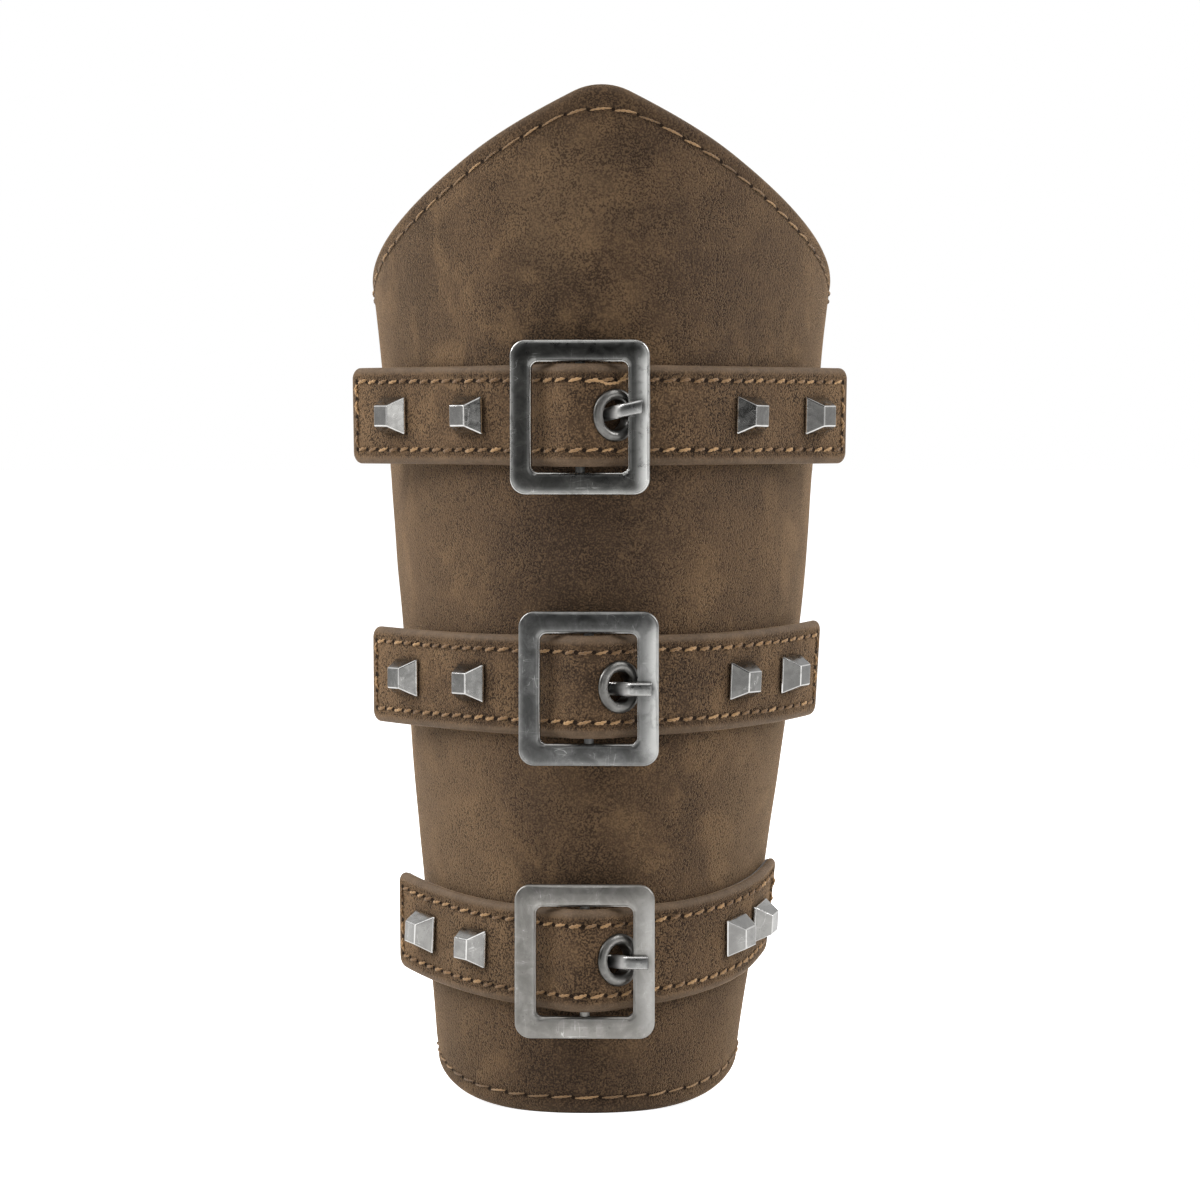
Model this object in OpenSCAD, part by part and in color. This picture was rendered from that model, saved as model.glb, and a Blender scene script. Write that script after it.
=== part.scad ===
// Forearm bracer: a rolled leather panel with three buckled, studded straps.
// The wearer's arm runs along +Z, the buckles face -Y and the lacing edges face +Y.
// Arrays of three run from the wrist strap to the elbow strap.

/* [Panel] */
// Height of the panel at the point of its top edge
panel_h = 260.5; // [240:0.5:290]
// Half width of the panel at the wrist hem
wrist_half = 38.2; // [36:0.1:42]
// Half width of the panel at the middle level
mid_half = 53.7; // [51:0.1:56]
// Half width of the panel at the elbow level
elbow_half = 58.9; // [57:0.1:62]
// Half width that the panel's flare reaches at its point
peak_half = 67.5; // [64:0.1:72]
// Height of the middle level, where the taper changes
mid_level = 126; // [115:1:135]
// Height of the elbow level, where the flare starts
elbow_level = 192; // [185:1:200]
// Distance from the origin forward to the panel's front line
front_reach = 54; // [50:0.5:60]
// Sideways shift of the wrist end
wrist_shift = -4; // [-6:0.1:6]
// Crown radius as a share of the half width
crown_share = 0.75; // [0.7:0.01:0.8]
// Back curl radius as a share of the half width
curl_share = 0.68; // [0.6:0.01:0.8]
// Surface turn at which the back edges end
edge_turn = 145; // [138:1:150]

/* [Layers] */
// Thickness of the outer leather
leather_t = 1.2; // [1:0.1:1.6]
// Thickness of the stiffener board
core_t = 1; // [0.8:0.1:1.4]
// Thickness of the lining
lining_t = 0.8; // [0.6:0.1:1.2]
// Width of the turned rim round the panel
rim_w = 2.5; // [2:0.1:3.5]
// Chamfer of the turned rim
rim_round = 0.35; // [0.2:0.05:0.5]

/* [Fits] */
// Glue line between two layers
glue = 0.06; // [0.04:0.01:0.1]
// Radial play of posts and barrels in the leather
bore_play = 0.1; // [0.05:0.01:0.15]
// Space under heads, caps and washers, and between a hump and its eye
seat_gap = 0.15; // [0.1:0.01:0.2]
// Gap between a prong at rest and its frame
prong_seat = 0.05; // [0.03:0.01:0.1]

/* [Edges] */
// Slope of the top edge beside the point
peak_slope = 28.5; // [25:0.5:31]
// Radius that rounds the point
peak_round = 13.5; // [8:0.5:20]
// Length along the panel of each straight slope
slope_run = 34; // [24:1:40]
// Radius of the sweep that levels the top edge
level_round = 416; // [380:1:460]
// Rise of the wrist hem at the sides
hem_lift = 7.6; // [5:0.1:10]
// How much lower the hem's back corners are than its highest places
hem_fall = 2.4; // [1:0.1:4]
// Where the hem is highest, as a share of the way from front to back edge
hem_share = 0.8; // [0.6:0.05:0.85]

/* [Lacing] */
// Eyelets along each back edge
lace_count = 6; // [4:1:8]
// Distance of the eyelet row from the back edge
lace_inset = 9; // [8:0.5:11]
// Height of the lowest eyelet
lace_low = 16; // [14:1:24]
// Distance of the highest eyelet below the panel's back corner
lace_drop = 19; // [14:0.1:24]
// Bore of a lacing eyelet
lace_bore = 5; // [4:0.1:5.5]
// Flange diameter of a lacing eyelet
lace_flange = 9.4; // [9:0.1:10.4]
// Width of a washer beyond the barrel that it holds
washer_rim = 1.1; // [0.9:0.1:1.3]

/* [Straps] */
// Heights of the three strap centre lines
strap_levels = [39.9, 108.8, 177.1];
// Width of a strap
strap_w = 25; // [24:0.1:26]
// Thickness of the face leather
face_t = 1.6; // [1.4:0.1:1.8]
// Thickness of the backing leather
backing_t = 1; // [0.8:0.1:1.2]
// Space between a strap and the panel where the strap lies on it
strap_gap = 0.4; // [0.3:0.05:0.6]
// Radius of the rounded strap ends
end_round = 3; // [2:0.1:4]
// Rounding along the face leather's turned edges
face_round = 0.9; // [0.6:0.1:1.2]
// Rounding along the backing's edges
backing_round = 0.5; // [0.3:0.1:0.7]
// Turn at which each strap leaves the panel on the left
leave_left = [51.3, 48.5, 46.2];
// Turn at which each strap leaves the panel on the right
leave_right = [73.5, 52.3, 49.7];
// Length of each free tail on the left
tail_left = [37.9, 45, 47.8];
// Length of each free tail on the right
tail_right = [14.2, 41.4, 43.5];
// Rise of each strap's left end
rise_left = [5.4, 0.6, 0];
// Rise of each strap's right end
rise_right = [8.8, 2.1, 0];
// Radius of the bend of each free tail on the left
bend_left = [165, 250, 500];
// Radius of the bend of each free tail on the right
bend_right = [200, 165, 500];

/* [Buckles] */
// Turn at which each buckle sits on the panel
buckle_turn = [-2.3, -3.5, -6.4];
// Width of the frame
frame_w = 35.3; // [34.6:0.1:36]
// Height of the frame
frame_h = 38.9; // [38.4:0.1:40]
// Width of the window
window_w = 24.5; // [24:0.1:25]
// Height of the window
window_h = 27.8; // [27.4:0.1:28.4]
// Thickness of the frame
frame_t = 2.6; // [2.2:0.1:2.8]
// Radius of the frame's outer corners
frame_round = 4; // [3:0.1:5]
// Radius of the window's corners
window_round = 1.2; // [1:0.1:2]
// Bevel along the frame's edges
frame_bevel = 0.45; // [0.3:0.05:0.6]
// Distance of the frame below the strap's centre line
frame_drop = 0.5; // [0:0.1:0.8]
// Diameter of the centre bar
bar_d = 2.5; // [2.2:0.1:2.6]
// Distance of the centre bar's axis behind the frame's middle plane
bar_back = 0.8; // [0.6:0.1:1]
// Distance of the centre bar's axis from the panel
bar_stand = 4.9; // [4.8:0.1:5.4]

/* [Hump] */
// Radius of the strap's bend over the centre bar
hump_round = 8; // [7.6:0.1:8.4]
// Slope of the strap on each side of the centre bar
hump_turn = 40; // [39:0.5:41]
// Radius of the bend where the strap meets the panel again
foot_round = 10; // [9:0.5:11]

/* [Prongs] */
// Width of a prong
prong_w = 3.5; // [3.2:0.1:3.8]
// Thickness of a prong
prong_t = 1.8; // [1.6:0.1:2]
// Wall of the eye that turns on the centre bar
eye_wall = 1.2; // [1:0.1:1.3]
// Running clearance of the eye on the centre bar
eye_play = 0.08; // [0.05:0.01:0.1]
// Rise of each prong's tip
prong_rise = [0, 0, 2.8];
// Radius of the prong's two bends
prong_bend = 4; // [3.6:0.1:4.4]
// Length of the prong's blunted tip
prong_nose = 0.5; // [0.3:0.1:0.8]
// Climb of the prong through the eyelet
prong_climb = 38; // [36:1:40]
// Distance of the prong's tip inside the frame's outer edge
tip_inset = 0.6; // [0.4:0.1:1.2]

/* [Strap eyelets] */
// Distance of each eyelet down the strap's slope
eyelet_run = [3.4, 2.4, 3.8];
// Bore of a strap eyelet
eyelet_bore = 7.8; // [7.6:0.1:8]
// Flange diameter of a strap eyelet
eyelet_flange = 13.4; // [13:0.1:13.6]
// Thickness of an eyelet's rolled flange
flange_t = 0.8; // [0.7:0.05:0.9]
// Wall of an eyelet's barrel
barrel_wall = 0.45; // [0.4:0.05:0.5]
// Thickness of the washer and of the rolled end behind the strap
washer_t = 0.4; // [0.3:0.05:0.5]

/* [Studs] */
// Side of a stud's square base
stud_base = 9.6; // [9:0.1:10.2]
// Side of a stud's flat top
stud_top = 5.2; // [4.8:0.1:5.8]
// Height of a stud
stud_h = 4.8; // [4.4:0.1:5.4]
// Height of the upright skirt under a stud's slopes
stud_skirt = 0.5; // [0.4:0.1:0.8]
// Diameter of a stud's post
post_d = 2.8; // [2.4:0.1:3.2]
// Inner studs on the left, from where the strap leaves the panel. Less than 0 is on the panel
inner_left = [-1, -1, -1];
// Outer studs on the left
outer_left = [21.7, 26.4, 28.9];
// Inner studs on the right
inner_right = [-16, -1, -1];
// Outer studs on the right
outer_right = [-1, 22.5, 27.9];
// Diameter of the cap on a post's end
cap_d = 8; // [7:0.1:9]
// Thickness of the cap
cap_t = 0.8; // [0.6:0.1:1]

/* [Hidden] */

leather = [0.30, 0.22, 0.15];
hide = [0.36, 0.27, 0.19];
nickel = [0.55, 0.55, 0.53];
steel = [0.46, 0.46, 0.45];
felt = [0.22, 0.17, 0.13];
board = [0.55, 0.45, 0.32];

smooth = 48;
fine = 32;
crown_turn = 45;
side_turn = 90;
column_step = 5;
shell_t = leather_t + core_t + lining_t;
strap_t = face_t + backing_t;
strap_mid = strap_gap + strap_t / 2;
panel_cut = 5 * shell_t;
strap_cut = 3 * strap_t;
eye_r = bar_d / 2 + eye_play + eye_wall;
flank_share = (1 - crown_share * sin(crown_turn)) / (1 - sin(crown_turn));
deg = 180 / PI;

// Plan directions at a surface turn, measured from the front
function outward(t) = [sin(t), -cos(t)];
function onward(t) = [cos(t), sin(t)];
function spin(v, t) = [v.x * cos(t) - v.y * sin(t), v.x * sin(t) + v.y * cos(t)];
function arc_step(r, from, to) = r * [sin(to) - sin(from), cos(from) - cos(to)];

// The panel's section: crown, flank and back curl arcs that meet with no kink
function half_w(z) = lookup(z, [
    [0, wrist_half], [mid_level, mid_half], [elbow_level, elbow_half], [panel_h, peak_half]
]);
function shift_x(z) = lookup(z, [[0, wrist_shift], [mid_level, 0], [panel_h, 0]]);
function crown_r(z) = crown_share * half_w(z);
function flank_r(z) = flank_share * half_w(z);
function curl_r(z) = curl_share * half_w(z);
function half_section(t, z, off) =
    arc_step(crown_r(z) + off, 0, min(t, crown_turn))
    + (t > crown_turn ? arc_step(flank_r(z) + off, crown_turn, min(t, side_turn)) : [0, 0])
    + (t > side_turn ? arc_step(curl_r(z) + off, side_turn, t) : [0, 0]);
function skin(t, z, off) =
    let (p = half_section(abs(t), z, off))
    [shift_x(z) + sign(t) * p.x, p.y - front_reach - off];
function lean(t, z) = outward(t) * (skin(t, z + 1, 0) - skin(t, z - 1, 0)) / 2;

// Length along the panel from its front line to a turn
function girth(t, z) =
    let (a = abs(t))
    (crown_r(z) * min(a, crown_turn)
    + flank_r(z) * max(0, min(a, side_turn) - crown_turn)
    + curl_r(z) * max(0, a - side_turn)) / deg;

// The top edge: rounded point, straight slopes, then a sweep to level
function top_edge(t) =
    let (
        s = girth(t, elbow_level),
        s1 = peak_round * sin(peak_slope),
        drop1 = peak_round * (1 - cos(peak_slope)),
        drop2 = drop1 + (slope_run - s1) * tan(peak_slope),
        left = max(0, sin(peak_slope) - max(0, s - slope_run) / level_round)
    )
    s < s1 ? panel_h - peak_round + sqrt(peak_round * peak_round - s * s)
    : s < slope_run ? panel_h - drop1 - (s - s1) * tan(peak_slope)
    : panel_h - drop2 - level_round * (sqrt(1 - left * left) - cos(peak_slope));

// The wrist hem: lowest at the front, lifted at the sides, a little lower again at the back corners
function hem_edge(t) =
    let (w = girth(t, 0) / girth(edge_turn, 0))
    w < hem_share ? hem_lift * pow(w / hem_share, 4) * (1 - w) / (1 - hem_share)
    : hem_lift - hem_fall * pow((w - hem_share) / (1 - hem_share), 2);

// Columns of the panel, with the outermost pair drawn in by the inset
inner_columns = floor((edge_turn - 9) / column_step);
columns = 2 * inner_columns + 2;
rows = 3;
function column_turn(i, z, inset) =
    i == 0 ? -edge_turn + inset / curl_r(z) * deg
    : i == columns ? edge_turn - inset / curl_r(z) * deg
    : (i - 1 - inner_columns) * column_step;
function row_z(j, t, inset) =
    j == 0 ? hem_edge(t) + inset
    : j == rows ? top_edge(t) - inset
    : j == 1 ? mid_level : elbow_level;
function panel_point(i, j, inset, off) =
    let (
        guess = row_z(j, column_turn(i, elbow_level, inset), inset),
        t = column_turn(i, guess, inset),
        z = row_z(j, t, inset),
        p = skin(t, z, off)
    )
    [p.x, p.y, z];

// Columns and rows round the border of the grid, as one closed walk
border = concat(
    [for (i = [0 : columns - 1]) [i, 0]],
    [for (j = [0 : rows - 1]) [columns, j]],
    [for (i = [columns : -1 : 1]) [i, rows]],
    [for (j = [rows : -1 : 1]) [0, j]]
);
function grid_index(i, j) = j * (columns + 1) + i;

// A closed sheet. rim lists [inset, offset] from the outer face round to the inner face
module sheet(rim) {
    last = len(rim) - 1;
    grid = (columns + 1) * (rows + 1);
    round = len(border);
    loops = last - 1;
    points = concat(
        [for (j = [0 : rows]) for (i = [0 : columns]) panel_point(i, j, rim[0][0], rim[0][1])],
        [for (j = [0 : rows]) for (i = [0 : columns]) panel_point(i, j, rim[last][0], rim[last][1])],
        [for (k = [1 : 1 : loops]) for (b = border) panel_point(b[0], b[1], rim[k][0], rim[k][1])]
    );
    function loop_index(k, n) =
        let (b = border[n % round])
        k == 0 ? grid_index(b[0], b[1])
        : k == last ? grid + grid_index(b[0], b[1])
        : 2 * grid + (k - 1) * round + n % round;
    outer = [for (j = [0 : rows - 1]) for (i = [0 : columns - 1]) let (
        a = grid_index(i, j), b = grid_index(i + 1, j),
        c = grid_index(i + 1, j + 1), d = grid_index(i, j + 1)
    ) each [[a, c, b], [a, d, c]]];
    inner = [for (f = outer) [f[0] + grid, f[2] + grid, f[1] + grid]];
    wall = [for (k = [0 : last - 1]) for (n = [0 : round - 1]) let (
        a = loop_index(k, n), b = loop_index(k, n + 1),
        c = loop_index(k + 1, n + 1), d = loop_index(k + 1, n)
    ) each [[a, b, c], [a, c, d]]];
    polyhedron(points = points, faces = concat(outer, inner, wall), convexity = 10);
}

// Lacing eyelets: places along one back edge, and the thickness that each one clamps.
// A flat washer inside the curl needs its sagitta, and more where the panel's taper changes
lace_washer_r = lace_bore / 2 + barrel_wall + washer_rim;
function taper_change(t, z) = abs(lean(t, z + lace_washer_r) - lean(t, z - lace_washer_r));
function lace_grip(z) =
    shell_t + 2 * seat_gap
    + pow(lace_washer_r, 2) / 2 / (curl_r(z) - shell_t)
    + taper_change(lace_turn(z), z) * lace_washer_r / 2;
lace_high = top_edge(edge_turn) - lace_drop;
function lace_z(i) = lace_low + (lace_high - lace_low) * i / (lace_count - 1);
function lace_turn(z) = edge_turn - lace_inset / curl_r(z) * deg;
module at_lace(side, i, off) {
    z = lace_z(i);
    t = side * lace_turn(z);
    p = skin(t, z, off);
    translate([p.x, p.y, z]) rotate([90 + atan(lean(t, z)), 0, t]) children();
}

// Strap path: over the bar, down to the panel, along it, then off as a free tail
hump_top = -(eye_r + seat_gap + strap_t / 2);
hump_end = [hump_round * sin(hump_turn), hump_top + hump_round * (1 - cos(hump_turn))];
function foot_run(k) =
    let (
        r = crown_r(strap_levels[k]),
        q = hump_end + foot_round * outward(hump_turn) - [0, bar_stand + r],
        along = q * onward(hump_turn),
        reach_r = r + strap_mid + foot_round
    )
    -along - sqrt(along * along - q * q + reach_r * reach_r);
function foot_centre(k) =
    hump_end + foot_run(k) * onward(hump_turn) + foot_round * outward(hump_turn);
function foot_turn(k) =
    let (c = foot_centre(k) - [0, bar_stand + crown_r(strap_levels[k])])
    atan2(c.x, -c.y);

// From a point beside the bar to the plan, on one side of the strap
function crown_centre(z) = [shift_x(z), crown_r(z) - front_reach];
function placed(k, side, v) =
    let (
        z = strap_levels[k],
        r = crown_r(z),
        turned = spin([side * v.x, v.y - bar_stand - r], buckle_turn[k])
    )
    crown_centre(z) + turned;
function leave_of(k, side) = side < 0 ? leave_left[k] : leave_right[k];
function tail_of(k, side) = side < 0 ? tail_left[k] : tail_right[k];
function rise_of(k, side) = side < 0 ? rise_left[k] : rise_right[k];
function bend_of(k, side) = side < 0 ? bend_left[k] : bend_right[k];
function foot_length(k) =
    hump_round * hump_turn / deg + foot_run(k) + foot_round * (hump_turn - foot_turn(k)) / deg;
function start_turn(k, side) = foot_turn(k) + side * buckle_turn[k];
function leave_length(k, side) =
    foot_length(k)
    + girth(leave_of(k, side), strap_levels[k]) - girth(start_turn(k, side), strap_levels[k])
    + strap_mid * (leave_of(k, side) - start_turn(k, side)) / deg;
function climb(k, side, s) =
    rise_of(k, side) * pow(s / (leave_length(k, side) + tail_of(k, side)), 2);
function slant(k, side, s) =
    atan(2 * rise_of(k, side) * s / pow(leave_length(k, side) + tail_of(k, side), 2));

// A station is [x, y, turn, length from the bar, half height, lean]
function tail_station(k, side, u, half) =
    let (
        z = strap_levels[k],
        leave = leave_of(k, side),
        bend = bend_of(k, side),
        t = leave + max(0, u) / bend * deg + min(0, u) / (flank_r(z) + strap_mid) * deg,
        base = skin(side * leave, z, strap_mid),
        step = arc_step(bend, leave, t),
        p = u < 0 ? skin(side * t, z, strap_mid) : base + [side * step.x, step.y]
    )
    [p.x, p.y, side * t, leave_length(k, side) + u, half, lean(side * min(t, leave), z)];
function side_stations(k, side) =
    let (
        half = strap_w / 2,
        z = strap_levels[k],
        foot = foot_turn(k),
        start = start_turn(k, side),
        leave = leave_of(k, side),
        tail = tail_of(k, side),
        follow = ceil((leave - start) / column_step)
    )
    concat(
        [for (i = [0 : 5]) let (t = hump_turn * i / 5,
            p = placed(k, side, [hump_round * sin(t), hump_top + hump_round * (1 - cos(t))]))
            [p.x, p.y, side * t + buckle_turn[k], hump_round * t / deg, half, 0]],
        [for (i = [0 : 3]) let (t = hump_turn + (foot - hump_turn) * i / 3,
            p = placed(k, side, foot_centre(k) - foot_round * outward(t)))
            [p.x, p.y, side * t + buckle_turn[k],
            foot_length(k) - foot_round * (t - foot) / deg, half, 0]],
        [for (i = [1 : follow]) let (t = start + (leave - start) * i / follow,
            p = skin(side * t, z, strap_mid))
            [p.x, p.y, side * t,
            foot_length(k) + girth(t, z) - girth(start, z) + strap_mid * (t - start) / deg,
            half, lean(side * t, z)]],
        [for (i = [1 : 5]) tail_station(k, side, (tail - end_round) * i / 5, half)],
        [for (a = [30, 60, 90]) tail_station(k, side, tail - end_round * (1 - sin(a)),
            half - end_round * (1 - cos(a)))]
    );
function mirrored(list) = [for (i = [len(list) - 1 : -1 : 1]) list[i]];
function strap_path(k) = concat(
    [for (s = mirrored(side_stations(k, -1))) concat(s, [-1])],
    [for (s = side_stations(k, 1)) concat(s, [1])]
);

// The strap's section at a station. cut lists [offset from the middle, drawn-in height, side]
function strap_ring(k, station, cut) =
    let (
        n = outward(station[2]),
        rise = climb(k, station[6], station[3])
    )
    [for (c = cut) let (
        up = rise + c[2] * (station[4] - c[1]),
        off = c[0] + station[5] * up
    ) [station[0] + n.x * off, station[1] + n.y * off, strap_levels[k] + up]];

// A closed solid through a list of rings with as many points each. Turned quads split the other way
module loft(rings, turned = false) {
    count = len(rings[0]);
    last = len(rings) - 1;
    side = [for (i = [0 : last - 1]) for (j = [0 : count - 1]) let (
        a = i * count + j, b = i * count + (j + 1) % count,
        c = (i + 1) * count + (j + 1) % count, d = (i + 1) * count + j
    ) each turned ? [[a, b, d], [b, c, d]] : [[a, b, c], [a, c, d]]];
    polyhedron(
        points = [for (r = rings) each r],
        faces = concat(
            side,
            [[for (j = [count - 1 : -1 : 0]) j]],
            [[for (j = [0 : count - 1]) last * count + j]]
        ),
        convexity = 10
    );
}

// Frames of reference: a strap's tail, its eyelet and its bar
module at_tail(k, side, u) {
    s = tail_station(k, side, u, 0);
    rise = climb(k, side, s[3]);
    p = [s[0], s[1]] + s[5] * rise * outward(s[2]);
    translate([p.x, p.y, strap_levels[k] + rise])
        rotate([90 + atan(s[5]), 0, s[2]])
            rotate([0, 0, side * slant(k, side, s[3])])
                children();
}
module at_eyelet(k) {
    p = placed(k, 1, hump_end + eyelet_run[k] * onward(hump_turn));
    translate([p.x, p.y, strap_levels[k]]) rotate([90, 0, hump_turn + buckle_turn[k]]) children();
}
module at_bar(k) {
    p = placed(k, 1, [0, 0]);
    translate([p.x, p.y, strap_levels[k] - frame_drop]) rotate([0, 0, buckle_turn[k]]) children();
}
function stud_places(k, side) =
    side < 0 ? [inner_left[k], outer_left[k]] : [inner_right[k], outer_right[k]];
module at_studs(k) {
    for (side = [-1, 1])
        for (u = stud_places(k, side))
            at_tail(k, side, u) {
                if (u < 0) children(0);
                else children(1);
            }
}

// Holes that the posts and barrels pass through
module post_hole(depth) {
    cylinder(r = post_d / 2 + bore_play, h = depth, center = true, $fn = fine);
}
module strap_holes(k) {
    eyelet_r = eyelet_bore / 2 + barrel_wall + bore_play;
    at_eyelet(k) {
        cylinder(r = eyelet_r, h = strap_cut, center = true, $fn = smooth);
        translate([0, 0, strap_t / 2])
            cylinder(r = eyelet_flange / 2 + bore_play, h = strap_cut, $fn = smooth);
        translate([0, 0, -strap_t / 2 - strap_cut])
            cylinder(r = eyelet_washer_r + bore_play, h = strap_cut, $fn = smooth);
    }
    at_studs(k) {
        post_hole(strap_cut);
        post_hole(strap_cut);
    }
}
module panel_holes() {
    lace_hole_r = lace_bore / 2 + barrel_wall + bore_play;
    for (side = [-1, 1])
        for (i = [0 : lace_count - 1])
            at_lace(side, i, 0)
                cylinder(r = lace_hole_r, h = panel_cut, center = true, $fn = fine);
    for (k = [0 : 2])
        for (side = [-1, 1])
            for (u = stud_places(k, side))
                if (u < 0) at_tail(k, side, u) post_hole(panel_cut);
}

// A rounded plate whose edges are bevelled, or flared where the bevel is negative
function bevel_half(half, t, bevel, over) = concat(
    over > 0 ? [[half - bevel, -t / 2 - over]] : [],
    [[half - bevel, -t / 2], [half, abs(bevel) - t / 2]],
    [[half, t / 2 - abs(bevel)], [half - bevel, t / 2]],
    over > 0 ? [[half - bevel, t / 2 + over]] : []
);
module bevel_slab(half, length, t, bevel, over) {
    right = bevel_half(half, t, bevel, over);
    left = [for (i = [len(right) - 1 : -1 : 0]) [-right[i].x, right[i].y]];
    rotate([90, 0, 0])
        linear_extrude(height = length, center = true)
            polygon(concat(right, left));
}
module bevel_disc(r, t, bevel, over) {
    side = bevel_half(r, t, bevel, over);
    rotate_extrude($fn = smooth)
        polygon(concat([[0, side[0].y]], side, [[0, side[len(side) - 1].y]]));
}
module bevel_plate(w, h, r, t, bevel, over = 0) {
    bevel_slab(w / 2, h - 2 * r, t, bevel, over);
    rotate([0, 0, 90]) bevel_slab(h / 2, w - 2 * r, t, bevel, over);
    for (x = [-1, 1])
        for (y = [-1, 1])
            translate([x * (w / 2 - r), y * (h / 2 - r), 0]) bevel_disc(r, t, bevel, over);
}

// An eyelet about its axis: rolled flange, barrel and the end rolled over its washer
module eyelet(bore_r, flange_r, grip) {
    outer_r = bore_r + barrel_wall;
    lip = flange_t / 2;
    rotate_extrude($fn = smooth)
        union() {
            translate([bore_r + lip, lip]) circle(r = lip, $fn = fine);
            translate([flange_r - lip, lip]) circle(r = lip, $fn = fine);
            translate([bore_r + lip, 0]) square([flange_r - bore_r - 2 * lip, flange_t]);
            translate([bore_r, -grip - washer_t]) square([barrel_wall, grip + washer_t + lip]);
            translate([bore_r, -grip - 2 * washer_t])
                square([barrel_wall + washer_t, washer_t * 0.9]);
            translate([bore_r, -grip - 1.2 * washer_t]) square([barrel_wall, washer_t * 0.4]);
        }
}
module washer(bore_r, washer_r, grip) {
    translate([0, 0, -grip - washer_t])
        difference() {
            cylinder(r = washer_r, h = washer_t * 0.9, $fn = smooth);
            translate([0, 0, -washer_t])
                cylinder(r = bore_r + barrel_wall + bore_play / 2, h = 3 * washer_t, $fn = smooth);
        }
}
eyelet_washer_r = eyelet_bore / 2 + barrel_wall + washer_rim;

// A stud's square, flat-topped head
module stud_head() {
    b = stud_base / 2;
    t = stud_top / 2;
    corners = [[-1, -1], [-1, 1], [1, 1], [1, -1]];
    loft([
        [for (c = corners) [c.x * b, c.y * b, 0]],
        [for (c = corners) [c.x * b, c.y * b, stud_skirt]],
        [for (c = corners) [c.x * t, c.y * t, stud_h]]
    ]);
}

// The two lengths of post: through the strap alone, or through strap and panel
tail_post = strap_t + 2 * seat_gap;
panel_post = strap_t / 2 + strap_mid + shell_t + 3 * seat_gap;
module stud(post_l) {
    translate([0, 0, strap_t / 2 + seat_gap]) {
        stud_head();
        translate([0, 0, -post_l]) cylinder(d = post_d, h = post_l + stud_skirt, $fn = fine);
    }
}
module stud_cap(post_l) {
    translate([0, 0, strap_t / 2 + seat_gap - post_l - cap_t])
        cylinder(d = cap_d, h = cap_t, $fn = fine);
}

// Prong stations in plan, beside the bar: out under the strap, up through the eyelet, on to the frame
prong_rest = -(bar_back + frame_t / 2 + prong_seat + prong_t / 2);
prong_low = eye_r - prong_t / 2;
prong_root = bar_d * 0.6;
prong_straight = (prong_low - prong_rest - 2 * prong_bend * (1 - cos(prong_climb))) / sin(prong_climb);
prong_run = 2 * prong_bend * sin(prong_climb) + prong_straight * cos(prong_climb);
prong_start = window_w / 2 - prong_run;
prong_tip = frame_w / 2 - tip_inset;
function prong_stations() = concat(
    [[prong_root, prong_low, 0]],
    [for (t = [0 : prong_climb / 4 : prong_climb])
        [prong_start + prong_bend * sin(t), prong_low - prong_bend * (1 - cos(t)), -t]],
    [for (t = [0 : prong_climb / 4 : prong_climb])
        [prong_start + prong_run - prong_bend * sin(prong_climb - t),
        prong_rest + prong_bend * (1 - cos(prong_climb - t)), t - prong_climb]],
    [[prong_tip - prong_nose, prong_rest, 0], [prong_tip, prong_rest, 0]]
);
function prong_ring(s, rise, last) =
    let (
        size = last ? 0.84 : 1,
        n = outward(s[2]),
        z = rise * max(0, s[0] - prong_start) / (prong_tip - prong_start)
    )
    [for (a = [0 : 30 : 330]) [
        s[0] + n.x * size * prong_t / 2 * cos(a),
        s[1] + n.y * size * prong_t / 2 * cos(a),
        z + size * prong_w / 2 * sin(a)
    ]];

// Sub-parts
module outer_panel() {
    flat = 3.4 * rim_round;
    color(leather)
        difference() {
            sheet([
                [flat, 0], [rim_round, -rim_round], [0, -shell_t / 2], [rim_round, rim_round - shell_t],
                [flat, -shell_t], [rim_w - glue, -shell_t], [rim_w - glue, -leather_t]
            ]);
            panel_holes();
        }
}
module stiffener_board() {
    color(board)
        difference() {
            sheet([[rim_w, -leather_t - glue], [rim_w, glue - leather_t - core_t]]);
            panel_holes();
        }
}
module lining() {
    color(felt)
        difference() {
            sheet([[rim_w, -leather_t - core_t], [rim_w, -shell_t]]);
            panel_holes();
        }
}
module lace_eyelets(side) {
    color(steel)
        for (i = [0 : lace_count - 1])
            at_lace(side, i, seat_gap / 2)
                eyelet(lace_bore / 2, lace_flange / 2, lace_grip(lace_z(i)));
}
module lace_washers(side) {
    color(steel)
        for (i = [0 : lace_count - 1])
            at_lace(side, i, seat_gap / 2)
                washer(lace_bore / 2, lace_washer_r, lace_grip(lace_z(i)));
}
module strap_face(k) {
    edge = face_round;
    low = glue / 2 + backing_t - strap_t / 2;
    high = strap_t / 2;
    cut = [
        [low, 0, -1], [high - edge, 0, -1], [high - 0.3 * edge, 0.3 * edge, -1], [high, edge, -1],
        [high, edge, 1], [high - 0.3 * edge, 0.3 * edge, 1], [high - edge, 0, 1], [low, 0, 1]
    ];
    color(hide)
        difference() {
            loft([for (s = strap_path(k)) strap_ring(k, s, cut)]);
            strap_holes(k);
        }
}
module strap_backing(k) {
    edge = backing_round;
    low = -strap_t / 2;
    high = backing_t - strap_t / 2 - glue / 2;
    cut = [
        [low, edge, -1], [low + edge, 0, -1], [high, 0, -1],
        [high, 0, 1], [low + edge, 0, 1], [low, edge, 1]
    ];
    color(felt)
        difference() {
            loft([for (s = strap_path(k)) strap_ring(k, s, cut)], true);
            strap_holes(k);
        }
}
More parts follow.
